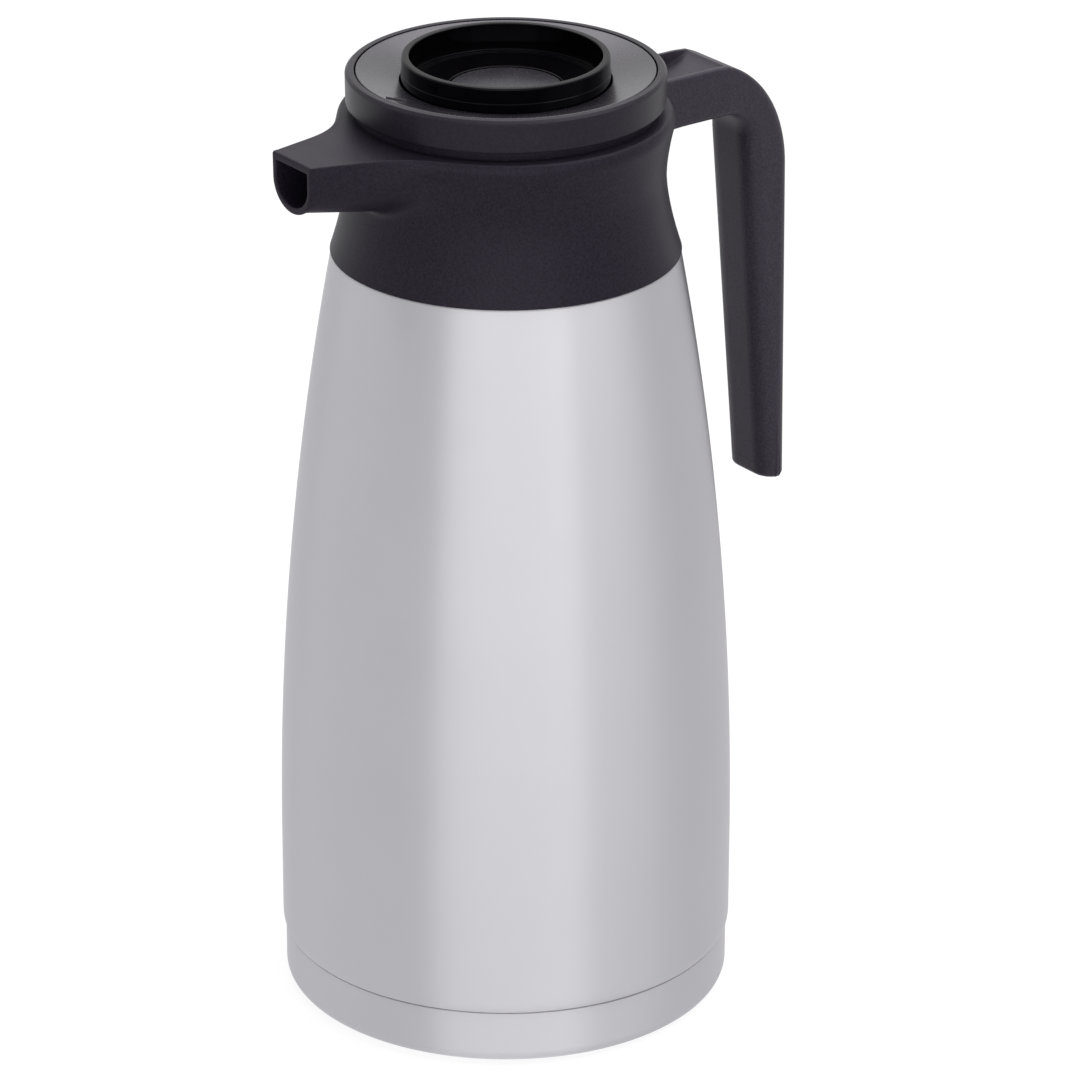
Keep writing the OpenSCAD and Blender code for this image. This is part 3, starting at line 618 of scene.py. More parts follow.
@dataclass
class SteelBody:
    """The drawn outer shell, the base cup under its seam and the foot disc."""

    body_r: float = 71.0
    straight_h: float = 50.0
    shoulder_z: float = 245.0
    shoulder_r: float = 53.2
    shoulder_corner: float = 1.0
    neck_r: float = 45.4
    neck_h: float = 17.0
    seam_z: float = 18.8
    seam_gap: float = 0.5
    roll_h: float = 3.2
    roll_in: float = 0.7
    base_inset: float = 0.9
    base_corner: float = 4.8
    foot_proud: float = 0.8
    foot_r: float = 62.0
    foot_t: float = 2.0
    sheet: float = 0.8
    seat: float = 0.15
    lip: float = 4.35
    groove_pitch: float = 9.0
    groove_depth: float = 0.5
    groove_w: float = 2.0
    groove_floor_w: float = 1.2
    cup_edge: float = 0.35
    foot_edge: float = 0.6
    roll_steps: int = 9
    roll_guard: float = 1.0
    straight_rows: int = 6
    side_rows: int = 45
    lip_steps: int = 5
    corner_steps: int = 6
    cup_steps: int = 8
    foot_steps: int = 3
    foot_guard: float = 0.2
    around: int = 288
    foot_around: int = 192

    def side_r(self, z: Array) -> Array:
        """Radius of the side: a cylinder, then one long arc up to the shoulder.

        The arc touches the cylinder at straight_h and passes through the shoulder:
        r = body_r - R + sqrt(R^2 - (z - straight_h)^2), with R from the shoulder's place.

        Args:
            z: Heights.

        Returns:
            The radius at each height.
        """
        drop, rise = self.body_r - self.shoulder_r, self.shoulder_z - self.straight_h
        bend = (rise**2 + drop**2) / (2 * drop)
        over = np.maximum(z - self.straight_h, 0.0)
        return self.body_r - bend + np.sqrt(bend**2 - over**2)

    def shell_line(self, inset: float) -> Array:
        """The shell's outline from the rolled bottom edge up to the shoulder's corner.

        Args:
            inset: Distance from the sheet's outer face.

        Returns:
            Points (r, z), one row each.
        """
        low = self.seam_z + self.roll_h
        roll = arc((self.body_r - self.roll_in - inset, low), self.roll_in, self.roll_h, -90, 0,
                   self.roll_steps)
        corner_z = self.shoulder_z - self.shoulder_corner - inset
        z = np.concatenate([
            np.linspace(low + self.roll_guard, self.straight_h, self.straight_rows + 1)[:-1],
            np.linspace(self.straight_h, corner_z, self.side_rows + 1)])
        return np.vstack([roll, np.column_stack([self.side_r(z) - inset, z])])

    def shell(self) -> bpy.types.Object:
        """Outer shell: both faces of the sheet from the roll to the neck's lip.

        Returns:
            The shell.
        """
        corner_z = self.shoulder_z - self.shoulder_corner
        corner_x = float(self.side_r(np.array(corner_z))) - self.shoulder_corner
        neck_top, t = self.shoulder_z + self.neck_h, self.sheet
        outside = np.vstack([
            self.shell_line(0),
            arc((corner_x, corner_z), self.shoulder_corner, self.shoulder_corner, 0, 90,
                self.corner_steps)[1:],
            [[self.neck_r, self.shoulder_z], [self.neck_r, neck_top - t]],
            arc((self.neck_r - t, neck_top - t), t, t, 0, 90, self.lip_steps)[1:],
            [[self.neck_r - self.lip, neck_top]]])
        inside = np.vstack([
            [[self.neck_r - self.lip, neck_top - t], [self.neck_r - t, neck_top - t],
             [self.neck_r - t, self.shoulder_z - t]],
            self.shell_line(t)[::-1]])
        return lathe("shell_outer", np.vstack([outside, inside]), self.around)

    def cup(self) -> bpy.types.Object:
        """Base cup: a shallow pan whose spigot goes up into the shell.

        Returns:
            The cup.
        """
        t, r = self.sheet, self.body_r - self.base_inset
        rim_z = self.seam_z - self.seam_gap
        spigot = self.body_r - self.roll_in - t - self.seat
        top = rim_z + self.roll_h
        recess = self.foot_r + self.seat
        low = self.foot_proud
        return lathe("base_pan", rounded([
            (0, self.foot_t, 0), (recess, self.foot_t, FINE), (recess, low, 0.3),
            (r, low, self.base_corner), (r, rim_z, self.cup_edge), (spigot, rim_z, CRISP),
            (spigot, top, CRISP), (spigot - t, top, CRISP), (spigot - t, rim_z - t, CRISP),
            (r - t, rim_z - t, CRISP), (r - t, low + t, self.base_corner - t),
            (recess + t, low + t, FINE), (recess + t, self.foot_t + t, FINE),
            (0, self.foot_t + t, 0)], self.cup_steps), self.around)

    def foot(self) -> bpy.types.Object:
        """Foot disc with a few moulded rings in its underside.

        Returns:
            The disc.
        """
        grooves: list[Corner] = []
        radii = np.arange(self.groove_pitch, self.foot_r - self.groove_pitch / 2, self.groove_pitch)
        half, floor = self.groove_w / 2, self.groove_floor_w / 2
        for r in radii.tolist():
            grooves += [(r - half, 0, FINE), (r - floor, self.groove_depth, FINE),
                        (r + floor, self.groove_depth, FINE), (r + half, 0, FINE)]
        return lathe("foot_disc", rounded([
            (0, 0, 0), *grooves, (self.foot_r, 0, self.foot_edge),
            (self.foot_r, self.foot_t, CRISP), (0, self.foot_t, 0)], self.foot_steps,
            self.foot_guard), self.foot_around)

    def build(self, wardrobe: Wardrobe) -> None:
        """Makes and dresses the steel body.

        Args:
            wardrobe: The finishes.
        """
        wardrobe.dress(self.shell(), Finish.BODY, "carafe", "outer_shell")
        wardrobe.dress(self.cup(), Finish.BODY, "carafe", "base_cup")
        wardrobe.dress(self.foot(), Finish.RUBBER, "carafe", "foot_pad")
        for node in ("inner_liner", "vacuum_bottom", "getter", "vacuum_seal"):
            wardrobe.dress_node(node, Finish.LINER)
        wardrobe.dress_node("neck_gasket", Finish.RUBBER)


# -------------------------------------------------------------------- collar


@dataclass
class SectionD:
    """A section across the spout or its duct: flat top, upright sides, round belly.

    Half width, top and bottom are straight-line functions of x, the distance from the
    carafe's axis. Over the last lip_l before the tip a drip lip flares sides and belly by
    the square of the way along it.
    """

    tip_x: float
    half_w: float
    widening: float
    top: float
    top_slope: float
    bottom: float
    bottom_slope: float
    belly: float = 0.575
    corner: float = 0.5
    shelf: float = 2.0
    lip_l: float = 3.0
    lip_out: float = 0.0
    lip_down: float = 0.0

    def ring(self, x: Array, counts: "RingCounts") -> Array:
        """One loop of points round the section, a point per entry of x.

        The loop starts on the top at +y, crosses the top to -y, goes down the side at -y,
        under the belly and up the side at +y. The corner is a quarter circle, the belly a
        half ellipse whose height is the share belly of the whole.

        Args:
            x: Distance from the axis of every point of the loop.
            counts: How many points each stretch has.

        Returns:
            Points (count, 3) as (x, y, z) with x towards the tip.
        """
        back = self.tip_x - x
        flare = np.clip(1 - back / self.lip_l, 0, 1) ** 2
        half = self.half_w + self.widening * back + self.lip_out * flare
        top = self.top - self.top_slope * back
        bottom = self.bottom - self.bottom_slope * back - self.lip_down * flare
        middle = bottom + (top - bottom) * self.belly
        kind, t, side = counts.kinds, counts.share, counts.side
        phi = t * math.pi / 2
        y = np.select(
            [kind == RingPart.TOP, kind == RingPart.SHELF, kind == RingPart.CORNER,
             kind == RingPart.WALL],
            [(half - self.corner - self.shelf) * t,
             half - self.corner - self.shelf * (1 - t),
             half - self.corner * (1 - np.sin(phi)),
             half], half * np.cos(phi))
        z = np.select(
            [(kind == RingPart.TOP) | (kind == RingPart.SHELF), kind == RingPart.CORNER,
             kind == RingPart.WALL],
            [top, top - self.corner * (1 - np.cos(phi)), mix(top - self.corner, middle, t)],
            middle - (middle - bottom) * np.sin(phi))
        return np.column_stack([x, y * side, z])


class RingPart(IntEnum):
    """Stretches of a loop round the spout, from the middle of its top to its bottom."""

    TOP = 0
    SHELF = 1
    CORNER = 2
    WALL = 3
    BELLY = 4
    UNDER = 5


@dataclass
class RingCounts:
    """Points of one loop round the spout: which stretch each lies on and how far along.

    share runs from 0 to 1 along top, shelf, corner and wall. On belly and under it is the
    share of the quarter ellipse, from the side down to the middle of the bottom. side is +1
    or -1 for the half that the point lies in.
    """

    top: int = 20
    shelf: int = 3
    corner: int = 8
    wall: int = 11
    belly: int = 14
    under: int = 20
    belly_share: float = 0.45
    kinds: Array = field(init=False)
    share: Array = field(init=False)
    side: Array = field(init=False)

    def __post_init__(self) -> None:
        """Lays the points out for one half and mirrors them to the other."""
        down = [(RingPart.TOP, np.arange(self.top) / self.top),
                (RingPart.SHELF, np.arange(self.shelf) / self.shelf),
                (RingPart.CORNER, np.arange(self.corner) / self.corner),
                (RingPart.WALL, np.arange(self.wall) / self.wall),
                (RingPart.BELLY, np.arange(self.belly) / self.belly * self.belly_share),
                (RingPart.UNDER, mix(self.belly_share, 1, np.arange(self.under + 1) / self.under))]
        kinds = np.concatenate([np.full(len(share), part) for part, share in down])
        share = np.concatenate([share for _, share in down])
        self.kinds = np.concatenate([kinds, kinds[-2:0:-1]])
        self.share = np.concatenate([share, share[-2:0:-1]])
        self.side = np.concatenate([-np.ones(len(share)), np.ones(len(share) - 2)])

    @property
    def rows(self) -> int:
        """Steps down one side, from the top's outer end to the start of the underside."""
        return self.shelf + self.corner + self.wall + self.belly


@dataclass
class Collar:
    """The moulded collar: flared foot, waist, rounded edge, spout and handle tongue.

    The outside is one surface. A quarter of the collar around the spout is laid out in
    loops that start as a rectangle on the collar, close in to a D on it, rise along smooth
    ribs to the spout, run out to its lip, turn in and come back along the duct to the bore.
    """

    foot_z: float = 245.0
    foot_r: float = 53.6
    waist_r: float = 48.7
    waist_z: float = 269.0
    edge_flare: float = 2.5
    edge_round: float = 1.6
    edge_drop: float = 3.3
    top_z: float = 289.3
    lower_power: float = 1.6
    upper_power: float = 1.7
    rim_r: float = 46.0
    rim_top: float = 292.0
    rim_bore_r: float = 42.4
    bore_r: float = 45.55
    ledge_z: float = 287.35
    spout_x: float = 78.6
    spout_top: float = 289.9
    spout_top_rise: float = 1.6
    spout_under: float = 273.6
    spout_fall: float = 10.2
    spout_w: float = 19.5
    spout_widening: float = 0.25
    lip_out: float = 0.35
    lip_down: float = 1.0
    patch_angle: float = 52.0
    root_angle: float = 39.0
    root_q: float = 0.28
    root_middle_z: float = 279.9
    root_low_z: float = 265.0
    rib_end_x: float = 63.0
    rib_end_under_x: float = 55.0
    rib_pull: float = 0.42
    lip_round: float = 0.9
    duct_round: float = 0.45
    spout_wall: float = 2.3
    spout_side_wall: float = 1.8
    spout_floor: float = 1.5
    duct_widening: float = 0.06
    duct_shelf: float = 1.2
    closing: tuple[float, ...] = (0, 0.2, 0.4, 0.58, 0.74, 0.87, 0.95, 1.0)
    """Shares in which the rectangle on the collar closes in to the D."""
    opening: tuple[float, ...] = (0.15, 0.4, 0.7, 1.0)
    """Shares in which the bore's patch opens from the duct to the rectangle."""
    fillet_rows: int = 16
    run_rows: int = 7
    flare_rows: int = 5
    lip_rows: int = 7
    duct_lip_rows: int = 5
    duct_rows: int = 11
    meeting_rounds: int = 3
    """Rounds in which the duct's last loop is brought onto the bore."""
    rest_steps: int = 112
    trough_x: float = 47.2
    trough_z: float = 285.7
    trough_w: float = 19.5
    tongue_w: float = 13.0
    tongue_z: float = 277.1
    tongue_h: float = 6.2
    tongue_x: float = 72.0
    tongue_root: float = 1.0
    """Distance from the bore at which the tongue starts, inside the collar's wall."""
    counts: RingCounts = field(default_factory=RingCounts)

    def __post_init__(self) -> None:
        """Works out the sections of spout and duct."""
        rise, fall = (math.tan(math.radians(a)) for a in (self.spout_top_rise, self.spout_fall))
        half = self.spout_w / 2
        self.spout = SectionD(self.spout_x, half, self.spout_widening, self.spout_top, rise,
                              self.spout_under, fall, lip_out=self.lip_out, lip_down=self.lip_down)
        self.duct = SectionD(self.spout_x, half - self.spout_side_wall, self.duct_widening,
                             self.spout_top - self.spout_wall, rise,
                             self.spout_under + self.spout_floor, fall, shelf=self.duct_shelf)

    @property
    def edge_z(self) -> float:
        """Height at which the rounded edge under the lid starts."""
        return self.top_z - self.edge_drop

    def wall_r(self, z: Array, grow: float = 0.0) -> Array:
        """Radius of the collar's outside at height z.

        Below the waist r = waist + flare * u^1.6 with u from the waist down to the foot,
        above it r = waist + edge_flare * u^1.7 with u up to the edge, then an ellipse.

        Args:
            z: Heights.
            grow: Distance outside the collar.

        Returns:
            The radius at each height.
        """
        lower = np.clip((self.waist_z - z) / (self.waist_z - self.foot_z), 0, 1)
        upper = np.clip((z - self.waist_z) / (self.edge_z - self.waist_z), 0, 1)
        over = np.clip((z - self.edge_z) / self.edge_drop, 0, 1)
        flare = (self.foot_r - self.waist_r) * lower**self.lower_power
        flare = flare + self.edge_flare * upper**self.upper_power
        return self.waist_r + grow + flare - self.edge_round * (1 - np.sqrt(1 - over**2))

    def profile(self, q: Array) -> Array:
        """The outside's outline as a function of q.

        q from 0 to 1 crosses the top face outwards, 1 to 2 goes round the edge's quarter
        ellipse, and 2 to 3 goes down the wall to the foot.

        Args:
            q: Place along the outline.

        Returns:
            Radius and height, stacked along a last axis.
        """
        edge_x = self.waist_r + self.edge_flare - self.edge_round
        turn = (2 - np.clip(q, 1, 2)) * math.pi / 2
        z = np.select([q < 1, q < 2],
                      [np.full_like(q, self.top_z), self.edge_z + self.edge_drop * np.sin(turn)],
                      mix(self.edge_z, self.foot_z, q - 2))
        r = np.select([q < 1, q < 2],
                      [mix(self.rim_r, edge_x, q), edge_x + self.edge_round * np.cos(turn)],
                      self.wall_r(z))
        return np.stack([r, z], axis=-1)

    def on_wall(self, angle: Array, q: Array) -> Array:
        """Points of the collar's outside.

        Args:
            angle: Angles from the spout's direction, in radians.
            q: Places along the outline.

        Returns:
            The points, stacked along a last axis.
        """
        line = self.profile(q)
        r, z = line[..., 0], line[..., 1]
        return np.stack([r * np.cos(angle), r * np.sin(angle), z], axis=-1)

    def side_q(self) -> Array:
        """Places q of the patch's upright sides, as many as a loop has down one side.

        Returns:
            The places, from the top's outer end to the foot.
        """
        c = self.counts
        return np.concatenate([np.arange(c.shelf) / c.shelf, 1 + np.arange(c.corner) / c.corner,
                               np.linspace(2, 3, c.wall + c.belly + 1)])

    def frame_loop(self, top: float, side: Array, low: float) -> tuple[Array, Array]:
        """A rectangle of angle and level, walked as a loop round the spout is.

        Args:
            top: Level of the rectangle's top.
            side: Levels down its upright sides.
            low: Level of its bottom.

        Returns:
            Angles in radians and levels, one each per point of a loop.
        """
        c = self.counts
        across = np.radians(self.patch_angle) * np.linspace(0, 1, c.top + 1)
        half_angle = np.concatenate([across[:-1], np.full(c.rows, across[-1]), across[::-1]])
        half_level = np.concatenate([np.full(c.top, top), side[:-1], np.full(c.under + 1, low)])
        angle = np.concatenate([half_angle, half_angle[-2:0:-1]]) * c.side
        return angle, np.concatenate([half_level, half_level[-2:0:-1]])

    def root_loop(self) -> tuple[Array, Array]:
        """The D on the collar from which the spout grows.

        Returns:
            Angles in radians and places q, one each per point of a loop.
        """
        c, kind, t = self.counts, self.counts.kinds, self.counts.share
        phi = t * math.pi / 2
        root = math.radians(self.root_angle)
        wall_h = self.edge_z - self.foot_z
        z = np.where(kind == RingPart.WALL, mix(self.edge_z, self.root_middle_z, t),
                     self.root_middle_z - (self.root_middle_z - self.root_low_z) * np.sin(phi))
        q = np.select([kind == RingPart.TOP, kind == RingPart.SHELF, kind == RingPart.CORNER],
                      [np.full_like(t, self.root_q), mix(self.root_q, 1, t), 1 + t],
                      2 + (self.edge_z - z) / wall_h)
        angle = np.select([kind == RingPart.TOP, kind < RingPart.BELLY], [root * t, root],
                          root * np.cos(phi))
        return angle * c.side, q

    def fillet(self, root: Array, rise: Array, rib_x: Array) -> Array:
        """Smooth ribs from the D on the collar out to the spout.

        Each is a Bezier curve of start, start + h leave, end - h out and end, where h is
        rib_pull times the distance. At the middle of the top it leaves level towards the
        spout, and down the sides as the collar's last step does.

        Args:
            root: Points of the D, where the ribs start.
            rise: Last step of the collar's loops towards the D.
            rib_x: Distance from the axis at which each rib ends.

        Returns:
            Loops after the D, as (loops, count, 3).
        """
        c = self.counts
        end = self.spout.ring(rib_x, c)
        out = unit(self.spout.ring(rib_x + 1, c) - end)
        level = end - root
        level[:, 2] = 0
        tied = np.select([c.kinds == RingPart.TOP, c.kinds == RingPart.SHELF],
                         [np.zeros_like(c.share), ease(c.share)], 1.0)[:, None]
        leave = unit(mix(unit(level), unit(rise), tied))
        handle = self.rib_pull * np.linalg.norm(end - root, axis=1, keepdims=True)
        near, far = root + handle * leave, end - handle * out
        t = np.linspace(0, 1, self.fillet_rows + 1)[1:, None, None]
        return ((1 - t) ** 3 * root + 3 * (1 - t) ** 2 * t * near
                + 3 * (1 - t) * t**2 * far + t**3 * end)

    def spout_loops(self) -> Array:
        """All loops of the patch: collar, fillet, spout, lip, duct and bore.

        Returns:
            Loops as (loops, count, 3), with x towards the tip.
        """
        c = self.counts
        frame_angle, frame_q = self.frame_loop(0.0, self.side_q(), 3.0)
        root_angle, root_q = self.root_loop()
        closing = np.array(self.closing)[:, None]
        on_collar = self.on_wall(mix(frame_angle, root_angle, closing),
                                 mix(frame_q, root_q, closing))
        sunk = np.where(c.kinds >= RingPart.BELLY, np.sin(c.share * math.pi / 2) ** 2, 0.0)
        rib_x = mix(self.rib_end_x, self.rib_end_under_x, sunk)
        fillet = self.fillet(on_collar[-1], on_collar[-1] - on_collar[-2], rib_x)

        flare_x = self.spout_x - self.spout.lip_l
        run = [self.spout.ring(mix(rib_x, flare_x, t), c)
               for t in np.linspace(0, 1, self.run_rows + 1)[1:]]
        run += [self.spout.ring(np.full_like(rib_x, x), c)
                for x in np.linspace(flare_x, self.spout_x - self.lip_round,
                                     self.flare_rows + 1)[1:]]
        run += [self.lip_loop(a, self.lip_round, False)
                for a in np.linspace(0, 90, self.lip_rows + 1)[1:]]
        run += [self.lip_loop(a, self.duct_round, True)
                for a in np.linspace(90, 0, self.duct_lip_rows + 1)]
        duct = self.duct_loops()
        return np.concatenate([on_collar, fillet, np.stack(run), duct, self.bore_loops(duct[-1])])

    def duct_loops(self) -> Array:
        """Loops of the duct from its rounded edge back to the bore.

        Returns:
            The loops, as (loops, count, 3).
        """
        root_x = np.full(len(self.counts.share), self.bore_r)
        for _ in range(self.meeting_rounds):
            root_y = self.duct.ring(root_x, self.counts)[:, 1]
            root_x = np.sqrt(self.bore_r**2 - root_y**2)
        start = self.spout_x - self.duct_round
        return np.stack([self.duct.ring(mix(start, root_x, t), self.counts)
                         for t in np.linspace(0, 1, self.duct_rows + 1)[1:]])

    def bore_loops(self, hole: Array) -> Array:
        """Loops of the bore that open from the duct to the patch's rectangle.

        Args:
            hole: Points of the duct's last loop.

        Returns:
            The loops after it, as (loops, count, 3).
        """
        side = np.linspace(self.ledge_z, self.foot_z, self.counts.rows + 1)
        bore_angle, bore_z = self.frame_loop(self.ledge_z, side, self.foot_z)
        opening = np.array(self.opening)[:, None]
        angle = mix(np.arctan2(hole[:, 1], hole[:, 0]), bore_angle, opening)
        z = mix(hole[:, 2], bore_z, opening)
        return np.stack([self.bore_r * np.cos(angle), self.bore_r * np.sin(angle), z], axis=-1)

    def lip_loop(self, turn: float, size: float, inside: bool) -> Array:
        """A loop on the rounded lip.

        The lip's edge is a quarter circle: at angle a its loop has gone size (1 - cos a)
        from the face into the wall and stands size (1 - sin a) behind the tip.

        Args:
            turn: Angle a in degrees.
            size: Radius of the edge.
            inside: Whether it is the duct's edge instead of the outer one.

        Returns:
            The points of the loop.
        """
        a = math.radians(turn)
        x = np.full(len(self.counts.share), self.spout_x - size * (1 - math.sin(a)))
        outer, inner = self.spout.ring(x, self.counts), self.duct.ring(x, self.counts)
        wall = np.linalg.norm(inner - outer, axis=1, keepdims=True)
        share = size * (1 - math.cos(a)) / wall
        return mix(inner, outer, share) if inside else mix(outer, inner, share)

    def collar(self) -> bpy.types.Object:
        """The whole collar with spout, trough and tongue.

        Returns:
            The collar.
        """
        c = self.counts
        patch = math.radians(self.patch_angle)
        across = np.linspace(-patch, patch, 2 * c.top + 1)
        behind = np.linspace(patch, 2 * math.pi - patch, self.rest_steps + 1)
        around = np.concatenate([across, behind[1:-1]])
        rim = rounded([(self.rim_r, self.top_z, 0), (self.rim_r, self.rim_top, 0.4),
                       (self.rim_bore_r, self.rim_top, 0.3), (self.rim_bore_r, self.ledge_z, 0.2),
                       (self.bore_r, self.ledge_z, 0)])
        skin = Skin().add(self.spout_loops(), wrap_columns=True)
        skin.add(turned(self.profile(self.side_q()), behind))
        skin.add(turned(rim, around), wrap_columns=True)
        side = np.linspace(self.ledge_z, self.foot_z, c.rows + 1)
        skin.add(turned(np.column_stack([np.full_like(side, self.bore_r), side]), behind))
        foot = np.array([[self.foot_r, self.foot_z], [self.bore_r, self.foot_z]])
        skin.add(turned(foot, around), wrap_columns=True)
        for points in skin.points:
            points[:, :2] *= -1
        piece = skin.build("collar_spout")
        tongue = block("tongue", (self.bore_r + self.tongue_root, self.tongue_x),
                       (self.tongue_z, self.tongue_z + self.tongue_h), self.tongue_w)
        carve(piece, tongue, Cut.JOIN)
        trough = block("trough", (self.trough_x, self.tongue_x), (self.trough_z, self.rim_top),
                       self.trough_w)
        return carve(piece, trough, Cut.AWAY)

    def build(self, wardrobe: Wardrobe) -> None:
        """Makes and dresses the collar."""
        wardrobe.dress(self.collar(), Finish.COLLAR, "carafe", "collar")
        wardrobe.dress_node("mouth_sleeve", Finish.COLLAR)


# -------------------------------------------------------------------- handle


@dataclass
class Handle:
    """The open-ended handle, the cover strip inside its grip and its two screws."""

    collar: Collar
    width: float = 23.5
    end_width: float = 21.2
    bend_taper: float = 12 / 17
    """Share of the narrowing that the bend has by its end; the grip has the rest."""
    arm_top: float = 290.2
    arm_h: float = 16.5
    arm_x: float = 43.7
    bend_x: float = 76.8
    bend_z: float = 251.8
    grip_r: float = 102.4
    grip_lean: float = 1.8
    end_z: float = 146.5
    end_depth: float = 9.0
    inner_bend_r: float = 9.5
    inner_bend_x: float = 76.0
    arch_h: float = 2.2
    arch_x: float = 61.0
    arm_corner: float = 1.2
    grip_corner: float = 4.8
    arm_inner_corner: float = 2.0
    grip_inner_corner: float = 6.0
    end_round: float = 2.0
    trough_depth: float = 4.5
    ridge_w: float = 2.0
    trough_wall_w: float = 0.7
    slope_x: float = 60.0
    trough_end_x: float = 77.2
    crease: float = 0.35
    crease_l: float = 3.0
    cover_w: float = 13.4
    cover_t: float = 2.4
    cover_drop: float = 4.0
    cover_lift: float = 5.0
    cover_sink: float = 0.03
    cover_play: float = 0.04
    play: float = 0.15
    head_r: float = 3.1
    head_top: float = 275.9
    screw_x: tuple[float, float] = (58.0, 67.0)
    arm_rings: int = 46
    bend_rings: int = 30
    grip_rings: int = 26
    end_rings: int = 7
    round_steps: int = 6
    """Steps of each round corner, and of half the inner face."""
    side_steps: int = 9
    ridge_steps: int = 3
    wall_steps: int = 8
    floor_steps: int = 7
    strip_proud: float = 2.0
    """How far the cutters of strip and recess reach out of the grip's inner face."""
    seat_drop: float = 4.0
    seat_rows: int = 59
    seat_steps: int = 180
    well_steps: int = 40
    well_drop: float = 1.0

    @property
    def arm_bottom(self) -> float:
        """Height of the arm's underside."""
        return self.arm_top - self.arm_h

    @property
    def inner_bend_z(self) -> float:
        """Height of the inner bend's middle."""
        return self.arm_bottom - self.inner_bend_r

    def grip_inner_x(self, z: Array) -> Array:
        """The grip's inner face: a straight line from the bend to the free end.

        Args:
            z: Heights.

        Returns:
            The face's distance from the axis at each height.
        """
        top = self.inner_bend_x + self.inner_bend_r
        end = self.grip_r + self.grip_lean - self.end_depth
        return mix(top, end, (self.inner_bend_z - z) / (self.inner_bend_z - self.end_z))

    def outer_edge(self) -> Array:
        """Outer edge seen from the side: straight arm, one round bend, leaning grip.

        The bend's circle touches the grip's line at bend_z and meets the arm at bend_x,
        where the crease between them is drawn down by crease * e^-((x - bend_x) / crease_l)^2.

        Returns:
            Points (x, z), one row each.
        """
        back, rise = self.grip_r - self.bend_x, self.arm_top - self.bend_z
        bend = (back**2 + rise**2) / (2 * back)
        start = math.degrees(math.asin(rise / bend))
        x = np.linspace(self.arm_x, self.bend_x, self.arm_rings + 1)
        u = np.linspace(0, 1, self.grip_rings + 1)[1:]
        edge = np.vstack([
            np.column_stack([x, np.full_like(x, self.arm_top)]),
            arc((self.grip_r - bend, self.bend_z), bend, bend, start, 0, self.bend_rings)[1:],
            np.column_stack([self.grip_r + self.grip_lean * u,
                             mix(self.bend_z, self.end_z + self.end_round, u)])])
        edge[:, 1] -= self.crease * np.exp(-((edge[:, 0] - self.bend_x) / self.crease_l) ** 2)
        return edge

    def inner_edge(self) -> Array:
        """Inner edge in matching steps: arched arm, tight bend, grip.

        The arm's underside drops towards the collar by arch_h * u^2, with u from arch_x in.

        Returns:
            Points (x, z), one row each.
        """
        x = np.linspace(self.arm_x, self.inner_bend_x, self.arm_rings + 1)
        arch = np.maximum(0, (self.arch_x - x) / (self.arch_x - self.arm_x))
        z = np.linspace(self.inner_bend_z, self.end_z + self.end_round, self.grip_rings + 1)[1:]
        return np.vstack([
            np.column_stack([x, self.arm_bottom - self.arch_h * arch**2]),
            arc((self.inner_bend_x, self.inner_bend_z), self.inner_bend_r, self.inner_bend_r, 90, 0,
                self.bend_rings)[1:],
            np.column_stack([self.grip_inner_x(z), z])])

    def section(self, depth: Array, outer_round: Array, inner_round: Array, half: Array,
                sunk: Array) -> Array:
        """Sections across the handle, one row of points each.

        A section is a rectangle with round corners, from the inner face at h = 0 to the
        outer face at h = depth. The outer face sinks by a smooth step between its two
        ridges, which makes the thumb trough; its floor climbs to the bend like a scoop.

        Args:
            depth: Depth of each section.
            outer_round: Radius of its outer corners.
            inner_round: Radius of its inner corners.
            half: Half its width.
            sunk: Depth of its trough.

        Returns:
            Points (sections, count, 2) as (y, h).
        """
        depth, outer_round, inner_round, half, sunk = (
            size[:, None] for size in (depth, outer_round, inner_round, half, sunk))
        quarter = np.radians(np.linspace(0, 90, self.round_steps + 1))[None]
        inner_y = half - inner_round + inner_round * np.sin(quarter)
        inner_h = inner_round * (1 - np.cos(quarter))
        t = np.linspace(0, 1, self.side_steps + 1)[None, 1:-1]
        side_h = mix(inner_round, depth - outer_round, t)
        outer_y = half - outer_round * (1 - np.cos(quarter))
        outer_h = depth - outer_round * (1 - np.sin(quarter))
        wall = self.width / 2 - self.ridge_w
        level = self.width / 2 - self.arm_corner
        foot = wall - self.trough_wall_w
        steps = np.concatenate([
            np.linspace(level, wall, self.ridge_steps + 1)[1:-1],
            wall + self.trough_wall_w * np.linspace(0, -1, self.wall_steps + 1),
            np.linspace(foot, 0, self.floor_steps + 1)[1:]])[None]
        top_y = (half - outer_round) * steps / level
        top_h = depth - sunk * ease((wall - steps) / self.trough_wall_w)
        bottom = np.linspace(0, 1, self.round_steps + 1)[None, :-1] * (half - inner_round)
        y = np.hstack([bottom, inner_y, half * np.ones_like(t), outer_y, top_y])
        h = np.hstack([0 * bottom, inner_h, side_h, outer_h, top_h])
        return np.stack([np.hstack([y, -y[:, -2:0:-1]]), np.hstack([h, h[:, -2:0:-1]])], axis=-1)

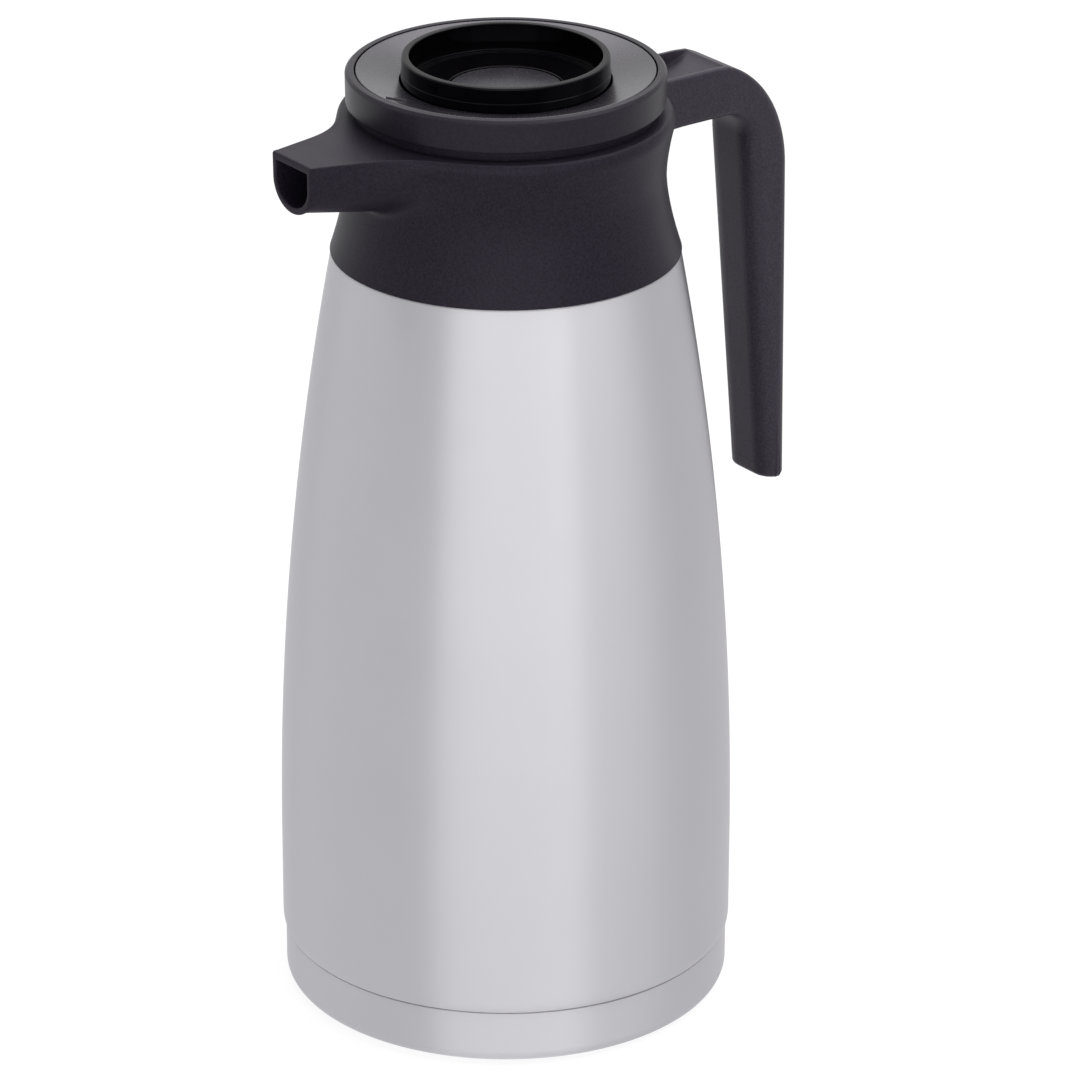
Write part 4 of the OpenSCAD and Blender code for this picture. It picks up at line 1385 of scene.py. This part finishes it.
    def form(self, name: str) -> bpy.types.Object:
        """The handle's body, from inside the collar to the rounded free end.

        Corners, width and trough change along it: the bend goes over from the arm's corners
        to the grip's, and the trough's floor climbs by the cube of the way to its end.

        Args:
            name: Name of the new object.

        Returns:
            The body without recesses.
        """
        outer, inner = self.outer_edge(), self.inner_edge()
        depth = np.linalg.norm(outer - inner, axis=1)
        step = np.arange(len(outer))
        turn = ease((step - self.arm_rings) / self.bend_rings)
        outer_round = mix(self.arm_corner, self.grip_corner, turn)
        inner_round = mix(self.arm_inner_corner, self.grip_inner_corner, turn)
        bend_end = self.arm_rings + self.bend_rings
        taper = np.interp(step, [self.arm_rings, bend_end, step[-1]], [0, self.bend_taper, 1])
        half = mix(self.width, self.end_width, taper) / 2
        climb = np.clip((outer[:, 0] - self.slope_x) / (self.trough_end_x - self.slope_x), 0, 1)
        sunk = self.trough_depth * (1 - climb**3)
        flat = self.section(depth, outer_round, inner_round, half, sunk)
        rings = self.place(flat, inner, unit(outer - inner))
        return solid(name, np.concatenate([rings, self.free_end(rings[-1])]))

    def place(self, flat: Array, inner: Array, way: Array) -> Array:
        """Puts sections where they belong along the handle.

        Args:
            flat: Points (sections, count, 2) as (y, h).
            inner: Inner point (x, z) of each section.
            way: Unit direction (x, z) from there to the outer face.

        Returns:
            Points (sections, count, 3).
        """
        x = inner[:, None, 0] + way[:, None, 0] * flat[..., 1]
        z = inner[:, None, 1] + way[:, None, 1] * flat[..., 1]
        return np.stack([x, flat[..., 0], z], axis=-1)

    def free_end(self, last: Array) -> Array:
        """Rounds the grip's end: at angle a a loop is drawn in by end_round (1 - cos a).

        Args:
            last: Points of the grip's last section.

        Returns:
            Loops below it, as (loops, count, 3).
        """
        a = np.radians(np.linspace(0, 90, self.end_rings + 1))[1:, None]
        draw = self.end_round * (1 - np.cos(a))
        share = np.hstack([1 - 2 * draw / self.end_depth, 1 - 2 * draw / self.end_width,
                           np.ones_like(a)])[:, None]
        middle = last.mean(axis=0)
        loops = middle + (last - middle) * share
        loops[..., 2] -= self.end_round * np.sin(a)
        return loops

    def cover_line(self, play: float) -> list[tuple[float, float]]:
        """Side outline of the cutter for the cover strip, or for the recess that takes it.

        Args:
            play: Distance that it is larger than the strip.

        Returns:
            Corners (x, z).
        """
        top, low = self.inner_bend_z - self.cover_drop, self.end_z + self.cover_lift
        top_x, low_x = self.grip_inner_x(np.array([top, low])).tolist()
        proud, deep = self.strip_proud, self.cover_t + play
        return [(top_x - proud, top + play), (top_x + deep, top + play),
                (low_x + deep, low - play), (low_x - proud, low - play)]

    def body(self) -> bpy.types.Object:
        """Handle cut to the collar's outside, with its recesses.

        Returns:
            The handle.
        """
        piece = self.form("handle_body")
        c, gap = self.collar, self.play
        z = np.linspace(c.foot_z - self.seat_drop, c.top_z, self.seat_rows + 1)
        r = c.wall_r(np.maximum(z, c.foot_z), gap)
        seat = np.vstack([[[0, z[0]]], np.column_stack([r, z]),
                          [[r[-1], c.rim_top], [0, c.rim_top]]])
        carve(piece, lathe("seat", seat, self.seat_steps), Cut.AWAY)
        pocket = block("pocket", (c.bore_r, c.tongue_x + gap),
                       (c.tongue_z, c.tongue_z + c.tongue_h + gap), c.tongue_w + 2 * gap)
        carve(piece, pocket, Cut.AWAY)
        recess = prism("recess", self.cover_line(self.cover_play),
                       self.cover_w + 2 * self.cover_play)
        carve(piece, recess, Cut.AWAY)
        hole = arc((0, 0), self.head_r + gap, self.head_r + gap, 0, 360, self.well_steps)[:-1]
        low = self.arm_bottom - self.arch_h - self.well_drop
        for x in self.screw_x:
            well = solid("screw_well", np.stack([
                np.column_stack([hole[:, 0] + x, hole[:, 1], np.full(len(hole), level)])
                for level in (low, self.head_top)]))
            carve(piece, well, Cut.AWAY)
        return piece

    def cover(self) -> bpy.types.Object:
        """Cover strip, whose face carries on the grip's round corners.

        Returns:
            The strip.
        """
        strip = prism("strip", self.cover_line(0), self.cover_w)
        piece = carve(self.form("grip_cover"), strip, Cut.SHARED)
        piece.data.transform(Matrix.Translation((self.cover_sink * MM, 0, 0)))
        return piece

    def build(self, wardrobe: Wardrobe) -> None:
        """Makes and dresses the handle.

        Args:
            wardrobe: The finishes.
        """
        wardrobe.dress(self.body(), Finish.HANDLE, "carafe", "handle")
        wardrobe.dress(self.cover(), Finish.HANDLE, "carafe", "handle_cover")
        wardrobe.dress_node("handle_screws", Finish.FASTENER)


# ----------------------------------------------------------------------- lid


@dataclass
class Lid:
    """Skirt ring, dished plate with its pouring mark, glossy ring and well."""

    low_z: float = 292.3
    top_z: float = 302.3
    skirt_r: float = 48.4
    skirt_t: float = 2.1
    skirt_lean: float = 0.1
    bevel_w: float = 0.8
    bevel_h: float = 0.9
    groove_h: float = 3.5
    ledge_w: float = 1.0
    ledge_h: float = 1.5
    plate_r: float = 45.3
    plate_t: float = 1.8
    plate_drop: float = 0.1
    dish: float = 3.3
    groove_w: float = 0.4
    hole_play: float = 0.6
    leg_in: float = 1.15
    leg_t: float = 1.8
    leg_web: float = 1.0
    flange_z: float = 294.3
    flange_r: float = 41.0
    flange_t: float = 1.7
    ring_r: float = 31.5
    ring_bore_r: float = 29.2
    ring_rise: float = 4.2
    ring_foot: float = 0.15
    """How far the ring's foot stands out under the step at foot_drop below the lid's top."""
    foot_drop: float = 0.8
    foot_step: float = 0.2
    rim_round: float = 0.5
    bore_round: float = 0.35
    well_depth: float = 8.3
    well_wall: float = 0.9
    well_step_w: float = 1.5
    well_step_h: float = 0.5
    throat_r: float = 17.4
    throat_drop: float = 1.4
    throat_t: float = 1.6
    well_t: float = 2.7
    mark_side: float = 6.6
    mark_margin: float = 0.9
    mark_h: float = 0.5
    mark_root: float = 0.5
    mark_corner: float = 0.25
    mark_edge: float = 0.06
    mark_steps: int = 4
    around: int = 288
    ring_around: int = 256
    ring_steps: int = 6

    def rim(self) -> bpy.types.Object:
        """Skirt ring with a bevelled top edge and the ledge under the plate.

        Returns:
            The ring.
        """
        r, top, inner = self.skirt_r, self.top_z, self.skirt_r - self.skirt_t
        ledge, groove = self.plate_r - self.ledge_w, self.plate_r + self.groove_w
        low = top - self.groove_h
        return lathe("lid_skirt", rounded([
            (inner, self.low_z, 0.15), (r, self.low_z, 0.45),
            (r + self.skirt_lean, top - self.bevel_h, 0.5), (r - self.bevel_w, top, 0.6),
            (groove, top, 0.25), (groove, low, CRISP), (ledge, low - self.ledge_h, CRISP),
            (ledge, self.flange_z, CRISP), (inner, self.flange_z, CRISP)]), self.around)

    def plate(self) -> bpy.types.Object:
        """Dished plate; its hole clears the ring, and its leg stands on the plug.

        Returns:
            The plate with its pouring mark.
        """
        edge = self.top_z - self.plate_drop
        inner, under = edge - self.dish, edge - self.plate_t
        hole, leg = self.ring_r + self.hole_play, self.plate_r - self.leg_in
        leg_in, web = leg - self.leg_t, under - self.leg_web
        piece = lathe("lid_disc", rounded([
            (hole, inner, 0.25), (hole, inner - self.plate_t, CRISP), (leg_in, web, CRISP),
            (leg_in, self.flange_z, CRISP), (leg, self.flange_z, CRISP), (leg, web, CRISP),
            (self.plate_r, under, CRISP), (self.plate_r, edge, 0.3)]), self.around)
        return carve(piece, self.mark(hole, inner, edge), Cut.JOIN)

    def mark(self, hole: float, inner: float, edge: float) -> bpy.types.Object:
        """Raised triangle on the plate's slope that points to the spout.

        Args:
            hole: Radius of the plate's hole.
            inner: Height of the plate's top at the hole.
            edge: Height of the plate's top at its edge.

        Returns:
            The triangle's solid, laid on the slope.
        """
        radius = self.mark_side / math.sqrt(3)
        plan = rounded([(radius * math.cos(a), radius * math.sin(a), self.mark_corner)
                        for a in np.radians([0, 120, 240]).tolist()], self.mark_steps)
        slope = (edge - inner) / (self.plate_r - hole)
        middle = self.plate_r - self.mark_margin - radius
        loops = []
        for lift, draw in ((-self.mark_root, 0.0), (self.mark_h - self.mark_edge, 0.0),
                           (self.mark_h, self.mark_edge)):
            x = -(middle + plan[:, 0] * (1 - draw / radius))
            y = plan[:, 1] * (1 - draw / radius)
            loops.append(np.column_stack([x, y, inner + slope * (-x - hole) + lift]))
        return solid("mark", np.stack(loops))

    def funnel(self) -> bpy.types.Object:
        """Glossy ring and well with a stepped, sloping floor.

        Returns:
            The ring.
        """
        top, flange = self.top_z + self.ring_rise, self.flange_z + self.flange_t
        ledge, throat = top - self.well_depth, self.throat_r
        wall, bore = self.ring_bore_r - self.well_wall, self.ring_bore_r
        step, foot = bore - self.well_step_w, self.ring_r + self.ring_foot
        foot_z, floor_z = self.top_z - self.foot_drop, ledge - self.throat_drop
        return lathe("brew_ring", rounded([
            (throat, floor_z, 0.3), (throat, floor_z - self.throat_t, FINE),
            (wall, ledge - self.well_t, CRISP), (wall, self.flange_z, CRISP),
            (self.flange_r, self.flange_z, CRISP), (self.flange_r, flange, CRISP),
            (foot, flange, CRISP), (foot, foot_z, CRISP),
            (self.ring_r, foot_z + self.foot_step, CRISP), (self.ring_r, top, self.rim_round),
            (bore, top, self.bore_round), (bore, ledge, FINE), (step, ledge, 0.15),
            (step, ledge - self.well_step_h, CRISP)], self.ring_steps), self.ring_around)

    def build(self, wardrobe: Wardrobe) -> None:
        """Makes and dresses the lid.

        Args:
            wardrobe: The finishes.
        """
        wardrobe.dress(self.rim(), Finish.LID, "lid", "lid_rim")
        wardrobe.dress(self.plate(), Finish.PLATE, "lid", "lid_plate")
        wardrobe.dress(self.funnel(), Finish.GLOSS, "lid", "brew_funnel")
        for node, finish in (("lid_plug", Finish.LID), ("flap_pin", Finish.FASTENER),
                             ("plug_gasket", Finish.RUBBER), ("rim_seal", Finish.RUBBER),
                             ("brew_flap", Finish.PLATE), ("flap_weight", Finish.FASTENER)):
            wardrobe.dress_node(node, finish)


# -------------------------------------------------------------------- studio


def facing(target: Vector, azimuth: float, elevation: float, distance_mm: float) -> Matrix:
    """Place of a lamp or camera that looks at a point.

    Args:
        target: The point, in metres.
        azimuth: Angle round Z in degrees, from -Y towards +X.
        elevation: Angle above the horizon in degrees.
        distance_mm: Distance from the point.

    Returns:
        The matrix of the lamp or camera.
    """
    a, e = math.radians(azimuth), math.radians(elevation)
    back = Vector((math.sin(a) * math.cos(e), -math.cos(a) * math.cos(e), math.sin(e)))
    turn = back.to_track_quat("Z", "Y").to_matrix().to_4x4()
    return Matrix.Translation(target + back * distance_mm * MM) @ turn


@dataclass
class Softbox:
    """A large square lamp that faces a point on the carafe."""

    name: str
    azimuth: float
    elevation: float
    distance_mm: float
    width_mm: float
    height_mm: float
    strength: float
    """Brightness of its face; 1 is white."""

    def build(self, target: Vector) -> None:
        """Adds the lamp, whose power is strength times pi times its area.

        Args:
            target: The point that it faces, in metres.
        """
        lamp = bpy.data.lights.new(self.name, "AREA")
        lamp.shape = "RECTANGLE"
        lamp.size, lamp.size_y = self.width_mm * MM, self.height_mm * MM
        lamp.energy = self.strength * math.pi * lamp.size * lamp.size_y
        holder = bpy.data.objects.new(self.name, lamp)
        holder.visible_camera = False
        bpy.context.scene.collection.objects.link(holder)
        holder.matrix_world = facing(target, self.azimuth, self.elevation, self.distance_mm)


@dataclass
class Studio:
    """Pale floor and backdrop, soft lamps and the camera at the photograph's view."""

    target_z: float = 150.0
    distance: float = 1837.0
    azimuth: float = -36.5
    elevation: float = 23.59
    photo_px: float = 1080.0
    focal_px: float = 5912.0
    axis_px: float = 505.9
    horizon_px: float = 532.3
    sensor_mm: float = 36.0
    clip_m: float = 100.0
    floor_mm: float = 9000.0
    floor_colour: str = "#fafafa"
    floor_glow: float = 0.8
    floor_white: float = 1.08
    world_colour: str = "#8c8c8e"
    lamps: tuple[Softbox, ...] = (
        Softbox("front_softbox", -34.0, 14, 1500, 2250, 1250, 1.5),
        Softbox("left_softbox", -118.0, 14, 1500, 2400, 1000, 0.25),
        Softbox("right_softbox", 41.0, 56, 1400, 900, 900, 2.6),
        Softbox("back_softbox", 143.5, 55, 1500, 1500, 900, 2.1),
        Softbox("top_softbox", -20.0, 84, 1300, 1000, 1000, 1.8),
    )

    @property
    def target(self) -> Vector:
        """The point on the axis that camera and lamps face, in metres."""
        return Vector((0, 0, self.target_z * MM))

    def camera(self) -> None:
        """Adds the camera, shifted only as far as the photograph's framing needs."""
        data = bpy.data.cameras.new("view")
        data.sensor_width = self.sensor_mm
        data.lens = self.sensor_mm * self.focal_px / self.photo_px
        half = self.photo_px / 2
        data.shift_x = (half - self.axis_px) / self.photo_px
        data.shift_y = (self.horizon_px - half) / self.photo_px
        data.clip_end = self.clip_m
        camera = bpy.data.objects.new("view", data)
        bpy.context.scene.collection.objects.link(camera)
        camera.matrix_world = facing(self.target, self.azimuth, self.elevation, self.distance)
        bpy.context.scene.camera = camera

    def seen(self, tree: bpy.types.NodeTree) -> bpy.types.NodeSocket:
        """1 for the rays that show the background: camera, glossy and transmission rays.

        Args:
            tree: Node tree of the floor or the world.

        Returns:
            The socket that carries it.
        """
        path = add_node(tree, "LightPath")
        mirror = add_node(tree, "Math", operation="MAXIMUM", input0=path.outputs["Is Glossy Ray"],
                          input1=path.outputs["Is Transmission Ray"])
        return add_node(tree, "Math", operation="MAXIMUM", input0=path.outputs["Is Camera Ray"],
                        input1=mirror.outputs[0]).outputs[0]

    def floor(self) -> None:
        """Pale floor: it glows towards the eye up to white and keeps the contact shadow."""
        half = self.floor_mm / 2
        corners = [[[-half, -half, 0], [half, -half, 0]], [[-half, half, 0], [half, half, 0]]]
        floor = Skin().add(np.array(corners)).build("floor")
        material, tree = new_material("pale_floor")
        paper = add_node(tree, "BsdfDiffuse", Color=linear(self.floor_colour))
        glow = add_node(tree, "Emission", Color=(1, 1, 1, 1), Strength=self.floor_white)
        share = add_node(tree, "Math", operation="MULTIPLY", input0=self.seen(tree),
                         input1=self.floor_glow)
        both = add_node(tree, "MixShader", Fac=share.outputs[0], input1=paper.outputs[0],
                        input2=glow.outputs[0])
        add_node(tree, "OutputMaterial", Surface=both.outputs[0])
        floor.data.materials.append(material)

    def world(self) -> None:
        """Even room light; the eye and reflections see it as white."""
        world = bpy.data.worlds.new("studio")
        world.use_nodes = True
        tree = world.node_tree
        tree.nodes.clear()
        room = add_node(tree, "Background", Color=linear(self.world_colour), Strength=1.0)
        white = add_node(tree, "Background", Color=(1, 1, 1, 1), Strength=1.0)
        both = add_node(tree, "MixShader", Fac=self.seen(tree), input1=room.outputs[0],
                        input2=white.outputs[0])
        add_node(tree, "OutputWorld", Surface=both.outputs[0])
        bpy.context.scene.world = world

    def build(self) -> None:
        """Sets up the studio."""
        bpy.context.scene.view_settings.view_transform = "Standard"
        self.camera()
        self.floor()
        self.world()
        for lamp in self.lamps:
            lamp.build(self.target)


def main() -> None:
    """Builds the carafe's sub-assemblies in order and the studio round them."""
    logging.basicConfig(level=logging.INFO, format="%(name)s: %(message)s")
    wardrobe = Wardrobe()
    collar = Collar()
    SteelBody().build(wardrobe)
    collar.build(wardrobe)
    Handle(collar).build(wardrobe)
    Lid().build(wardrobe)
    Studio().build()


if __name__ == "__main__":
    main()
